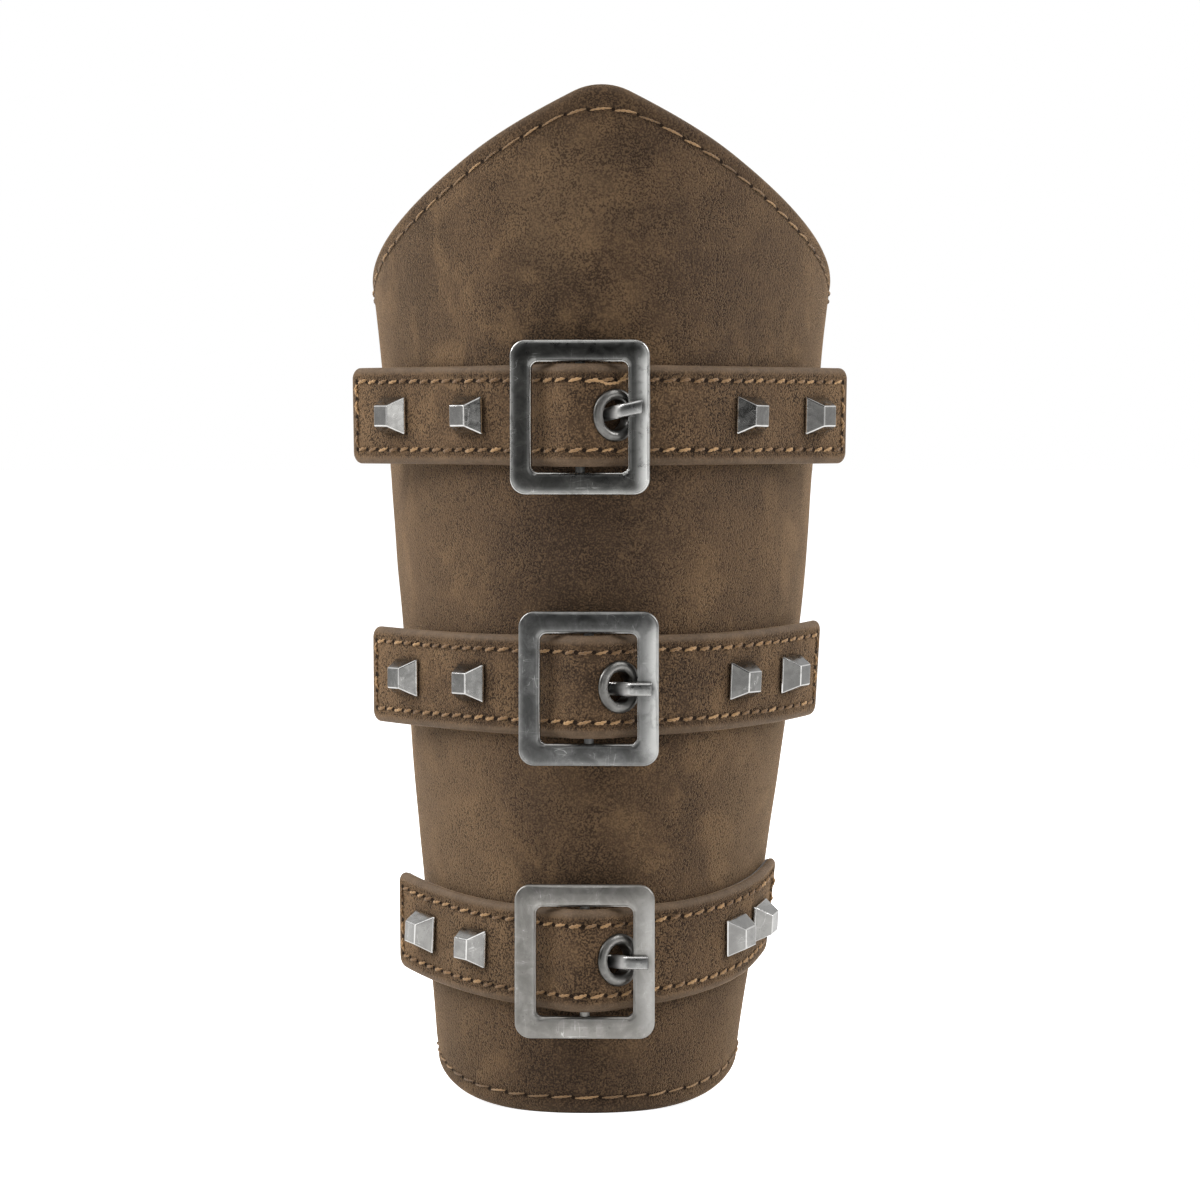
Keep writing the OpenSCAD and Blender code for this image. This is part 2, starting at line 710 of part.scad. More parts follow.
module buckle_frame(k) {
    color(nickel)
        at_bar(k) {
            translate([0, -bar_back, 0])
                rotate([90, 0, 0])
                    difference() {
                        bevel_plate(frame_w, frame_h, frame_round, frame_t, frame_bevel);
                        bevel_plate(window_w, window_h, window_round, frame_t, -frame_bevel, frame_t);
                    }
            cylinder(d = bar_d, h = window_h + (frame_h - window_h) / 2, center = true, $fn = smooth);
        }
}
module prong(k) {
    stations = prong_stations();
    color(nickel)
        at_bar(k)
            difference() {
                union() {
                    cylinder(r = eye_r, h = prong_w, center = true, $fn = smooth);
                    loft([for (i = [0 : len(stations) - 1])
                        prong_ring(stations[i], prong_rise[k], i == len(stations) - 1)]);
                }
                cylinder(r = bar_d / 2 + eye_play, h = 3 * prong_w, center = true, $fn = smooth);
            }
}
module strap_eyelet(k) {
    color(steel)
        at_eyelet(k)
            translate([0, 0, strap_t / 2])
                eyelet(eyelet_bore / 2, eyelet_flange / 2, strap_t);
}
module eyelet_washer(k) {
    color(steel)
        at_eyelet(k)
            translate([0, 0, strap_t / 2])
                washer(eyelet_bore / 2, eyelet_washer_r, strap_t);
}
module studs(k) {
    color(nickel)
        at_studs(k) {
            stud(panel_post);
            stud(tail_post);
        }
}
module stud_caps(k) {
    color(steel)
        at_studs(k) {
            stud_cap(panel_post);
            stud_cap(tail_post);
        }
}

outer_panel();
stiffener_board();
lining();
lace_eyelets(-1);  // lace_eyelets_left
lace_eyelets(1);  // lace_eyelets_right
lace_washers(-1);  // lace_washers_left
lace_washers(1);  // lace_washers_right
strap_face(0);  // wrist_strap_face
strap_backing(0);  // wrist_strap_backing
buckle_frame(0);  // wrist_buckle_frame
prong(0);  // wrist_prong
strap_eyelet(0);  // wrist_eyelet
eyelet_washer(0);  // wrist_eyelet_washer
studs(0);  // wrist_studs
stud_caps(0);  // wrist_stud_caps
strap_face(1);  // middle_strap_face
strap_backing(1);  // middle_strap_backing
buckle_frame(1);  // middle_buckle_frame
prong(1);  // middle_prong
strap_eyelet(1);  // middle_eyelet
eyelet_washer(1);  // middle_eyelet_washer
studs(1);  // middle_studs
stud_caps(1);  // middle_stud_caps
strap_face(2);  // elbow_strap_face
strap_backing(2);  // elbow_strap_backing
buckle_frame(2);  // elbow_buckle_frame
prong(2);  // elbow_prong
strap_eyelet(2);  // elbow_eyelet
eyelet_washer(2);  // elbow_eyelet_washer
studs(2);  // elbow_studs
stud_caps(2);  // elbow_stud_caps
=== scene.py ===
import math
import random

import bmesh
import bpy
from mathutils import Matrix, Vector, noise
from mathutils.kdtree import KDTree


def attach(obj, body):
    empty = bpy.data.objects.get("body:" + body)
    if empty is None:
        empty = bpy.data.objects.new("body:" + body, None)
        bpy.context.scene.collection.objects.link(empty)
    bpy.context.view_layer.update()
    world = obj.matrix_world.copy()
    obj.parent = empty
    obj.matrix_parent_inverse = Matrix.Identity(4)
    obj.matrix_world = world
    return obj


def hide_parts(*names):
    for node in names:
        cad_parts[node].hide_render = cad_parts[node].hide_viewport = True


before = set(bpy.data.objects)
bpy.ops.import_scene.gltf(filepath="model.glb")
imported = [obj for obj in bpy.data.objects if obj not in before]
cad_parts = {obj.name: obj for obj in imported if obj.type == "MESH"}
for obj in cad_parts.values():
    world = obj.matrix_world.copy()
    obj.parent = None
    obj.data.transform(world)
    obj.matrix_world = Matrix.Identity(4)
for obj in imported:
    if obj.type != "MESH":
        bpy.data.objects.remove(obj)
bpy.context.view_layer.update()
random.seed(7)

MM = 0.001
DEG = 180 / math.pi

# Panel, as the construction has it
PANEL_H = 260.5
FRONT_REACH = 54
HALF_WIDTHS = [(0, 38.2), (126, 53.7), (192, 58.9), (260.5, 67.5)]
SHIFTS = [(0, -4), (126, 0), (260.5, 0)]
TAPER_BLEND = 12
CROWN_SHARE = 0.75
CURL_SHARE = 0.68
CROWN_TURN = 45
SIDE_TURN = 90
EDGE_TURN = 145
SHELL_T = 3.0
LEATHER_T = 1.2
LINING_T = 0.8
RIM_W = 2.5
PEAK_SLOPE = 28.5
PEAK_ROUND = 13.5
SLOPE_RUN = 34
LEVEL_ROUND = 416
HEM_LIFT = 7.6
HEM_FALL = 2.4
HEM_SHARE = 0.8
ELBOW_LEVEL = 192
CROWN_SINE = math.sin(math.radians(CROWN_TURN))
FLANK_SHARE = (1 - CROWN_SHARE * CROWN_SINE) / (1 - CROWN_SINE)

# Lacing
LACE_COUNT = 6
LACE_INSET = 9
LACE_LOW = 16
LACE_DROP = 19
LACE_BORE = 5
LACE_FLANGE = 9.4
BARREL_WALL = 0.45
LACE_DOME = 0.95

# Straps, from the wrist to the elbow
WHERE = ["wrist", "middle", "elbow"]
LEVELS = [39.9, 108.8, 177.1]
STRAP_W = 25
FACE_T = 1.6
BACKING_T = 1
STRAP_T = FACE_T + BACKING_T
STRAP_GAP = 0.4
STRAP_MID = STRAP_GAP + STRAP_T / 2
END_ROUND = 3
LEAVE = {-1: [51.3, 48.5, 46.2], 1: [73.5, 52.3, 49.7]}
TAIL = {-1: [37.9, 45, 47.8], 1: [14.2, 41.4, 43.5]}
RISE = {-1: [5.4, 0.6, 0], 1: [8.8, 2.1, 0]}
BEND = {-1: [165, 250, 500], 1: [200, 165, 500]}

# Buckles
BUCKLE_TURN = [-2.3, -3.5, -6.4]
FRAME_W, FRAME_H = 35.3, 38.9
WINDOW_W, WINDOW_H = 24.5, 27.8
FRAME_T = 2.6
FRAME_ROUND = 4
WINDOW_ROUND = 1.8
FRAME_DROP = 0.5
BAR_D = 2.5
BAR_BACK = 0.8
BAR_STAND = 4.9
HUMP_ROUND = 8
HUMP_TURN = 40
FOOT_ROUND = 10
HUMP_SPREAD = 0.45
HUMP_REACH = 24
LEAN_RUN = 6
PRONG_W = 3.5
PRONG_T = 1.8
EYE_WALL = 1.2
EYE_PLAY = 0.08
PRONG_RISE = [0, 0, 2.8]
PRONG_CLIMB = 38
PRONG_BEND = 4
PRONG_SEAT = 0.05
TIP_INSET = 1.5
EYELET_RUN = [3.4, 2.4, 3.8]
EYELET_BORE = 7.8
EYELET_FLANGE = 13.4
EYELET_DOME = 1.15
WASHER_T = 0.4
WASHER_RIM = 1.1
SEAT_GAP = 0.15
EYE_R = BAR_D / 2 + EYE_PLAY + EYE_WALL

# Studs
STUD_BASE = 9.6
STUD_TOP = 5.2
STUD_H = 4.8
STUD_SKIRT = 0.5
POST_D = 2.8
STUDS_IN = {-1: [-1, -1, -1], 1: [-16, -1, -1]}
STUDS_OUT = {-1: [21.7, 26.4, 28.9], 1: [-1, 22.5, 27.9]}
CAP_D = 8
CAP_T = 0.8
STUD_BEVEL = 0.3
STUD_TILT = 1.2

# Stitching: distance between holes, thread radius and distance of a row from its edge
PANEL_PITCH = 6.5
PANEL_THREAD = 0.33
PANEL_ROW = 4.2
PEAK_ROW_DROP = 6.3
PEAK_ROW_ROUND = 24.5
STRAP_PITCH = 4.35
STRAP_THREAD = 0.47
STRAP_ROW = 3.7
STRAP_END_ROW = 2.6

# A stitch: its steps, the gap to its holes, how high it stands, and its plies' lay, distance and thickness
STITCH_STEPS = 16
STITCH_GAP = 0.35
STITCH_LOFT = 1.5
PLY_TWIST = 2.6
PLY_APART = 0.46
PLY_ENDS, PLY_SWELL = 0.3, 0.34

# Needle holes: radius, and the depth and reach of the dimple round one
PANEL_HOLE = 0.46
STRAP_HOLE = 0.50
PANEL_DIMPLE = 0.22, 1.0
STRAP_DIMPLE = 0.26, 0.95

# Rings of a needle hole's dish: share of its radius, and height over the leather
HOLE_RINGS = (1.0, 0.03), (0.55, -0.02)
HOLE_DEPTH = 0.05

# Folds and grooves along an edge: height, distance from the edge and width
PANEL_FOLDS = (0.08, 1.5, 0.8), (-0.06, 2.75, 0.5), (-0.14, PANEL_ROW, 1.0)
STRAP_FOLDS = (0.14, 1.25, 0.6), (-0.12, 2.45, 0.4), (-0.12, STRAP_ROW, 0.7)

# How far a hole in leather stands off the barrel in it
HOLE_PLAY = 0.15

# The photograph's camera: where it stands, how far it looks down, and its focal length in pixels
CAMERA_AT = (-0.4, -1254, 173.4)
CAMERA_PITCH = 2.05
CAMERA_FOCAL = 4752
PICTURE = 1200


def sin(a):
    return math.sin(a / DEG)


def cos(a):
    return math.cos(a / DEG)


def lookup(z, table):
    """Straight-line value between a table's rows, and on past its ends."""
    for (z0, v0), (z1, v1) in zip(table, table[1:]):
        if z <= z1:
            break
    return v0 + (v1 - v0) * (z - z0) / (z1 - z0)


def blended(z, table):
    """The same with each change of slope rounded over a short height."""
    return sum(lookup(z + TAPER_BLEND * k / 2, table) for k in (-2, -1, 0, 1, 2)) / 5


def half_w(z):
    return blended(z, HALF_WIDTHS)


def shift_x(z):
    return blended(z, SHIFTS)


def outward(t):
    return Vector((sin(t), -cos(t)))


def onward(t):
    return Vector((cos(t), sin(t)))


def spin(v, t):
    return Vector((v[0] * cos(t) - v[1] * sin(t), v[0] * sin(t) + v[1] * cos(t)))


def arc_step(r, a, b):
    return Vector((r * (sin(b) - sin(a)), r * (cos(a) - cos(b))))


def crown_r(z):
    return CROWN_SHARE * half_w(z)


def flank_r(z):
    return FLANK_SHARE * half_w(z)


def curl_r(z):
    return CURL_SHARE * half_w(z)


def skin(t, z, off=0.0):
    """Plan of the panel's outer face at a turn and height, moved out by off."""
    a = abs(t)
    w = half_w(z)
    p = arc_step(CROWN_SHARE * w + off, 0, min(a, CROWN_TURN))
    if a > CROWN_TURN:
        p += arc_step(FLANK_SHARE * w + off, CROWN_TURN, min(a, SIDE_TURN))
    if a > SIDE_TURN:
        p += arc_step(CURL_SHARE * w + off, SIDE_TURN, a)
    return Vector((shift_x(z) + math.copysign(p.x, t), p.y - FRONT_REACH - off))


def lean(t, z):
    return outward(t).dot(skin(t, z + 1) - skin(t, z - 1)) / 2


def girth(t, z):
    a = abs(t)
    run = crown_r(z) * min(a, CROWN_TURN)
    run += flank_r(z) * max(0, min(a, SIDE_TURN) - CROWN_TURN)
    run += curl_r(z) * max(0, a - SIDE_TURN)
    return run / DEG


def turn_at(run, z):
    """The turn at a length along the panel, the other way round from girth."""
    a = abs(run) * DEG
    crown = crown_r(z) * CROWN_TURN
    flank = flank_r(z) * (SIDE_TURN - CROWN_TURN)
    if a < crown:
        t = a / crown_r(z)
    elif a < crown + flank:
        t = CROWN_TURN + (a - crown) / flank_r(z)
    else:
        t = SIDE_TURN + (a - crown - flank) / curl_r(z)
    return math.copysign(t, run)


def top_at(run, high=PANEL_H, rounding=PEAK_ROUND):
    """Height of the top edge, or of a row inside it, at a length from the front line."""
    s = abs(run)
    s1 = rounding * sin(PEAK_SLOPE)
    drop1 = rounding * (1 - cos(PEAK_SLOPE))
    drop2 = drop1 + (SLOPE_RUN - s1) * math.tan(PEAK_SLOPE / DEG)
    left = max(0, sin(PEAK_SLOPE) - max(0, s - SLOPE_RUN) / LEVEL_ROUND)
    if s < s1:
        return high - rounding + math.sqrt(rounding * rounding - s * s)
    if s < SLOPE_RUN:
        return high - drop1 - (s - s1) * math.tan(PEAK_SLOPE / DEG)
    return high - drop2 - LEVEL_ROUND * (math.sqrt(1 - left * left) - cos(PEAK_SLOPE))


def top_edge(t):
    return top_at(girth(t, ELBOW_LEVEL))


def top_slope(t):
    """Rise of the top edge for each millimetre along the panel."""
    s = girth(t, ELBOW_LEVEL)
    return (top_at(s + 0.5) - top_at(max(0, s - 0.5))) / (s + 0.5 - max(0, s - 0.5))


def hem_edge(t):
    w = girth(t, 0) / girth(EDGE_TURN, 0)
    if w < HEM_SHARE:
        return HEM_LIFT * (w / HEM_SHARE) ** 4 * (1 - w) / (1 - HEM_SHARE)
    return HEM_LIFT - HEM_FALL * ((w - HEM_SHARE) / (1 - HEM_SHARE)) ** 2


def surface(t, z, off=0.0):
    """A point over the panel's outer face and the outward direction there."""
    p = skin(t, z, off)
    n = outward(t)
    return Vector((p.x, p.y, z)), Vector((n.x, n.y, -lean(t, z))).normalized()


def smooth_step(x, low, high):
    x = min(1, max(0, (x - low) / (high - low)))
    return x * x * (3 - 2 * x)


def bump(x, middle, width):
    return math.exp(-(((x - middle) / width) ** 2))


def rounding(d, r):
    """Drop of a face within r of its edge, where the edge is a quarter round."""
    if d >= r:
        return 0.0
    return math.sqrt(max(0, r * r - (r - d) ** 2)) - r


def folds(d, table):
    """Height of the folds along an edge at distance d from it."""
    return sum(height * bump(d, middle, width) for height, middle, width in table)


def spread(low, high, steps):
    """Evenly spaced values from low to high."""
    return [low + (high - low) * k / steps for k in range(steps + 1)]


def dense_ends(length, fine, middle_step):
    """Places from 0 to length, close together near both ends."""
    low, high = fine[-1], length - fine[-1]
    count = max(1, round((high - low) / middle_step))
    return fine + spread(low, high, count)[1:-1] + [length - f for f in reversed(fine)]


def scaled(values, factor):
    return tuple(value * factor for value in values)


# Meshes
def add_object(mesh, body, material, replaced=()):
    """A mesh as a piece of a body and the construction's nodes that it stands for."""
    obj = bpy.data.objects.new(mesh.name, mesh)
    bpy.context.scene.collection.objects.link(obj)
    mesh.materials.append(material)
    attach(obj, body)
    if replaced:
        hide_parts(*replaced)
    return obj


def new_mesh(name, points, faces, smooth=True, marks=None, uvs=None):
    """A mesh from points in millimetres, with named numbers on its points for the materials to read."""
    mesh = bpy.data.meshes.new(name)
    mesh.from_pydata([scaled(p, MM) for p in points], [], faces)
    mesh.validate()
    mesh.polygons.foreach_set("use_smooth", [smooth] * len(mesh.polygons))
    for key, values in (marks or {}).items():
        mesh.attributes.new(key, "FLOAT", "POINT").data.foreach_set("value", values)
    if uvs:
        flat = [c for loop in mesh.loops for c in uvs[loop.vertex_index]]
        mesh.uv_layers.new(name="thread").data.foreach_set("uv", flat)
    mesh.update()
    return mesh


def add_mark(mesh, name, values):
    """Named numbers for a mesh's first points, with 0 for the others."""
    values = values + [0.0] * (len(mesh.vertices) - len(values))
    mesh.attributes.new(name, "FLOAT", "POINT").data.foreach_set("value", values)


def bands(rings, sides, first=0, closed=False):
    """Quads between neighbouring rings of points, and from the last ring to the first if closed."""
    faces = []
    for ring in range(rings if closed else rings - 1):
        low = first + ring * sides
        high = first + (ring + 1) % rings * sides
        for k in range(sides):
            after = (k + 1) % sides
            faces.append((low + k, low + after, high + after, high + k))
    return faces


def closed_sheet(name, rows, columns, top, low):
    """A closed leather sheet. top and low give a point and its marks for a row and a column."""
    spots = [side(i, j) for side in (top, low) for j in rows for i in columns]
    marks = {key: [spot[k + 1] for spot in spots] for k, key in enumerate(("rim", "crease_shade", "wear_and_painted_light"))}
    nu, nv = len(columns), len(rows)
    under = nu * nv

    def at(i, j):
        return j * nu + i

    faces = []
    for j in range(nv - 1):
        for i in range(nu - 1):
            a, b, c, d = at(i, j), at(i + 1, j), at(i + 1, j + 1), at(i, j + 1)
            faces.append((a, b, c, d))
            faces.append((d + under, c + under, b + under, a + under))
    walk = [at(i, 0) for i in range(nu)] + [at(nu - 1, j) for j in range(1, nv)]
    walk += [at(i, nv - 1) for i in range(nu - 2, -1, -1)] + [at(0, j) for j in range(nv - 2, 0, -1)]
    for a, b in zip(walk, walk[1:] + walk[:1]):
        faces.append((b, a, a + under, b + under))
    return new_mesh(name, [spot[0] for spot in spots], faces, marks=marks)


def drill(obj, cutters):
    """Cuts round holes. A cutter is its middle, direction, radius and length."""
    bm = bmesh.new()
    for middle, way, radius, length in cutters:
        turn = Vector((0, 0, 1)).rotation_difference(way).to_matrix().to_4x4()
        turn.translation = Vector(middle) * MM
        size = {"radius1": radius * MM, "radius2": radius * MM, "depth": length * MM}
        bmesh.ops.create_cone(bm, cap_ends=True, segments=40, matrix=turn, **size)
    mesh = bpy.data.meshes.new("cutter")
    bm.to_mesh(mesh)
    bm.free()
    cutter = bpy.data.objects.new("cutter", mesh)
    bpy.context.scene.collection.objects.link(cutter)
    cut = obj.modifiers.new("holes", "BOOLEAN")
    cut.operation = "DIFFERENCE"
    cut.solver = "EXACT"
    cut.object = cutter
    bpy.context.view_layer.update()
    made = bpy.data.meshes.new_from_object(obj.evaluated_get(bpy.context.evaluated_depsgraph_get()))
    obj.modifiers.remove(cut)
    old = obj.data
    obj.data = made
    made.name = old.name
    bpy.data.meshes.remove(old)
    bpy.data.objects.remove(cutter)
    bpy.data.meshes.remove(mesh)


class Path:
    """A line over leather, asked for a place and an outward direction at a length along it."""

    LOOK = 0.3

    def __init__(self, places):
        self.places = places
        self.runs = [0.0]
        for (p, _), (q, _) in zip(places, places[1:]):
            self.runs.append(self.runs[-1] + (q - p).length)

    def at(self, run):
        run = min(max(run, 0), self.runs[-1])
        low, high = 0, len(self.runs) - 1
        while high - low > 1:
            mid = (low + high) // 2
            if self.runs[mid] <= run:
                low = mid
            else:
                high = mid
        f = (run - self.runs[low]) / max(1e-9, self.runs[high] - self.runs[low])
        (p, n), (q, m) = self.places[low], self.places[high]
        return p.lerp(q, f), n.lerp(m, f).normalized()

    def square(self, run):
        """Place, and the directions outward, along and across at a length."""
        p, n = self.at(run)
        along = (self.at(run + self.LOOK)[0] - self.at(run - self.LOOK)[0]).normalized()
        return p, n, along, n.cross(along)

    def holes(self, pitch):
        """Lengths of evenly spaced holes, as near the pitch as fits, each a little off."""
        length = self.runs[-1]
        count = max(1, round(length / pitch))
        inner = [k * (length / count) + random.uniform(-0.06, 0.06) * pitch for k in range(1, count)]
        return [0.0] + inner + [length]


class Threads:
    """Gathers tubes of thread. Each ring of a tube is a middle, two directions, a radius and a length."""

    SIDES = 8
    FLAT = 0.85

    def __init__(self):
        self.points, self.faces, self.uvs, self.tones = [], [], [], []

    def tube(self, rings, tone):
        first = len(self.points)
        sides = self.SIDES
        for middle, across, up, radius, run in rings:
            for k in range(sides):
                a = 360 * k / sides
                self.points.append(middle + (across * cos(a) + up * sin(a) * self.FLAT) * radius)
                self.uvs.append((run, k / sides))
                self.tones.append(tone)
        last = len(self.points) - sides
        self.faces += [face[::-1] for face in bands(len(rings), sides, first)]
        self.faces.append(tuple(range(first, first + sides)))
        self.faces.append(tuple(reversed(range(last, last + sides))))

    def mesh(self, name):
        return new_mesh(name, self.points, self.faces, marks={"tone": self.tones}, uvs=self.uvs)


def stitch_plies(path, start, end, radius):
    """The rings of one stitch's two twisted plies, from hole to hole and a little uneven."""
    slant = radius * random.uniform(0.5, 1.0)
    sway = random.uniform(-0.35, 0.35) * radius
    fat = radius * random.uniform(0.86, 1.12)
    loft = STITCH_LOFT * random.uniform(0.9, 1.25)
    phase = random.uniform(0, 360)
    plies = [], []
    for k in range(STITCH_STEPS + 1):
        f = 0.5 - 0.5 * math.cos(math.pi * k / STITCH_STEPS)
        arch = math.sin(math.pi * f)
        full = arch**0.7
        run = start + STITCH_GAP + (end - start - 2 * STITCH_GAP) * f
        p, n, _, across = path.square(run)
        across.normalize()
        middle = p + n * fat * (loft * full - 1.0) + across * (slant * (2 * f - 1) + sway * arch)
        for ply in (0, 1):
            a = phase + 360 * run / PLY_TWIST + 180 * ply
            off = (across * cos(a) + n * sin(a) * 0.8) * fat * PLY_APART * full
            plies[ply].append((middle + off, across, n, fat * (PLY_ENDS + PLY_SWELL * full), run))
    return plies


def add_stitches(threads, rows, radius):
    """The stitches of some rows. A row is its path and its hole lengths."""
    for path, holes in rows:
        for start, end in zip(holes, holes[1:]):
            plies = stitch_plies(path, start, end, radius)
            tone = random.random()
            for rings in plies:
                threads.tube(rings, tone)


def loose_strand(threads, strap, line, radius, tone):
    """A slack strand over a strap. line lists (length, up, off), in millimetres."""
    fine = []
    steps = 6
    for (s0, u0, o0), (s1, u1, o1) in zip(line, line[1:]):
        for k in range(steps):
            f = k / steps
            g = smooth_step(f, 0, 1)
            fine.append((s0 + (s1 - s0) * f, u0 + (u1 - u0) * g, o0 + (o1 - o0) * g))
    fine.append(line[-1])
    spots = [strap.point(s, up, STRAP_T / 2 + off) for s, up, off in fine]
    rings, run = [], 0.0
    for k, (p, n) in enumerate(spots):
        ahead = spots[min(k + 1, len(spots) - 1)][0]
        back = spots[max(k - 1, 0)][0]
        along = (ahead - back).normalized()
        across = n.cross(along).normalized()
        up = along.cross(across).normalized()
        thin = 0.5 if k in (0, len(spots) - 1) else 1.0
        rings.append((p, across, up, radius * thin, run))
        run += (ahead - p).length
    for ply in (0, 1):
        twisted = []
        for p, across, up, thick, run in rings:
            a = 360 * run / PLY_TWIST + 180 * ply
            twisted.append((p + (across * cos(a) + up * sin(a)) * thick * 0.5, across, up, thick * 0.62, run))
        threads.tube(twisted, tone)


def hole_mesh(name, rows, radius):
    """Needle holes as shallow dark dishes that lie on the leather at each hole of the rows: painted shade."""
    points, faces = [], []
    sides = 10
    for path, run in [(path, run) for path, holes in rows for run in holes]:
        p, n, along, across = path.square(run)
        size = radius * random.uniform(0.85, 1.15)
        first = len(points)
        for out, up in HOLE_RINGS:
            for k in range(sides):
                a = 360 * k / sides
                points.append(p + (along * cos(a) * 1.15 + across * sin(a)) * size * out + n * up)
        points.append(p - n * HOLE_DEPTH)
        faces += bands(2, sides, first)
        inner = first + sides
        faces += [(inner + k, inner + (k + 1) % sides, inner + sides) for k in range(sides)]
    return new_mesh(name, points, faces)


def dimple_field(rows, depth, reach):
    """A function that gives how far the leather is pulled in near the rows' holes."""
    spots = [path.at(run)[0] for path, holes in rows for run in holes]
    tree = KDTree(len(spots))
    for k, spot in enumerate(spots):
        tree.insert(spot, k)
    tree.balance()

    def pulled(p):
        _, _, distance = tree.find(p)
        return depth * bump(distance, 0, reach)

    return pulled


# Materials
SHEEN = (0.80, 0.54, 0.31, 1)


class Shader:
    """A Principled material under construction, with short ways to add the nodes it needs."""

    def __init__(self, name, **constants):
        self.material = bpy.data.materials.new(name)
        self.material.use_nodes = True
        self.tree = self.material.node_tree
        self.bsdf = self.tree.nodes["Principled BSDF"]
        for key, value in constants.items():
            self.bsdf.inputs[key.replace("_", " ")].default_value = value

    def put(self, source, target):
        """Joins an output to an input, or sets the input if source is a plain value."""
        if isinstance(source, bpy.types.NodeSocket):
            self.tree.links.new(source, target)
        else:
            target.default_value = source

    def node(self, kind, **settings):
        node = self.tree.nodes.new(kind)
        for key, value in settings.items():
            setattr(node, key, value)
        return node

    def place(self, stretch=(1, 1, 1), turn=(0, 0, 0)):
        """Object coordinates in metres, stretched and turned."""
        coords = self.node("ShaderNodeTexCoord").outputs["Object"]
        mapping = self.node("ShaderNodeMapping")
        mapping.inputs["Scale"].default_value = stretch
        mapping.inputs["Rotation"].default_value = scaled(turn, 1 / DEG)
        self.put(coords, mapping.inputs["Vector"])
        return mapping.outputs["Vector"]

    def noise(self, size, detail=3.0, rough=0.55, warp=0.0, where=None):
        """Noise whose features are about size millimetres wide."""
        node = self.node("ShaderNodeTexNoise")
        node.inputs["Scale"].default_value = 1 / (size * MM)
        node.inputs["Detail"].default_value = detail
        node.inputs["Roughness"].default_value = rough
        node.inputs["Distortion"].default_value = warp
        self.put(where or self.place(), node.inputs["Vector"])
        return node.outputs["Fac"]

    def mark(self, name):
        return self.node("ShaderNodeAttribute", attribute_name=name).outputs["Fac"]

    def math(self, operation, a, b=0.0):
        node = self.node("ShaderNodeMath", operation=operation)
        self.put(a, node.inputs[0])
        self.put(b, node.inputs[1])
        return node.outputs[0]

    def plus(self, a, b):
        return self.math("ADD", a, b)

    def less(self, a, b):
        return self.math("SUBTRACT", a, b)

    def times(self, a, b):
        return self.math("MULTIPLY", a, b)

    def span(self, value, low, high, to_low=0.0, to_high=1.0):
        """Maps low..high to to_low..to_high smoothly, and holds the ends."""
        node = self.node("ShaderNodeMapRange", interpolation_type="SMOOTHSTEP")
        self.put(value, node.inputs["Value"])
        for end, number in (("From Min", low), ("From Max", high), ("To Min", to_low), ("To Max", to_high)):
            node.inputs[end].default_value = number
        return node.outputs["Result"]

    def soft_patch(self, middle, reach, ragged):
        """1 within reach of a place and 0 beyond, with a ragged soft edge. Both are in millimetres."""
        place = self.node("ShaderNodeTexCoord").outputs["Object"]
        for operation, values in (("SUBTRACT", middle), ("DIVIDE", reach)):
            node = self.node("ShaderNodeVectorMath", operation=operation)
            self.put(place, node.inputs[0])
            node.inputs[1].default_value = scaled(values, MM)
            place = node.outputs[0]
        far = self.node("ShaderNodeVectorMath", operation="LENGTH")
        self.put(place, far.inputs[0])
        uneven = self.times(self.less(ragged, 0.5), 1.6)
        return self.span(self.plus(far.outputs["Value"], uneven), 0.25, 1.2, 1, 0)

    def ridge(self, value, width):
        """1 where value is near a half, which draws thin winding lines through noise."""
        gap = self.math("ABSOLUTE", self.less(value, 0.5))
        return self.span(gap, 0, width, 1, 0)

    def mix(self, factor, a, b, blend="MIX"):
        node = self.node("ShaderNodeMix", data_type="RGBA", blend_type=blend)
        self.put(factor, node.inputs[0])
        self.put(self.colour(a), node.inputs[6])
        self.put(self.colour(b), node.inputs[7])
        return node.outputs[2]

    @staticmethod
    def colour(value):
        return (*value, 1.0) if isinstance(value, tuple) and len(value) == 3 else value

    def relief(self, height, distance, strength=1.0, under=None):
        """A bump of so many millimetres, over another one if given."""
        node = self.node("ShaderNodeBump")
        node.inputs["Strength"].default_value = strength
        node.inputs["Distance"].default_value = distance * MM
        self.put(height, node.inputs["Height"])
        if under is not None:
            self.put(under, node.inputs["Normal"])
        return node.outputs["Normal"]

    def done(self, colour, rough, normal=None):
        self.put(self.colour(colour), self.bsdf.inputs["Base Color"])
        self.put(rough, self.bsdf.inputs["Roughness"])
        if normal is not None:
            self.put(normal, self.bsdf.inputs["Normal"])
        return self.material


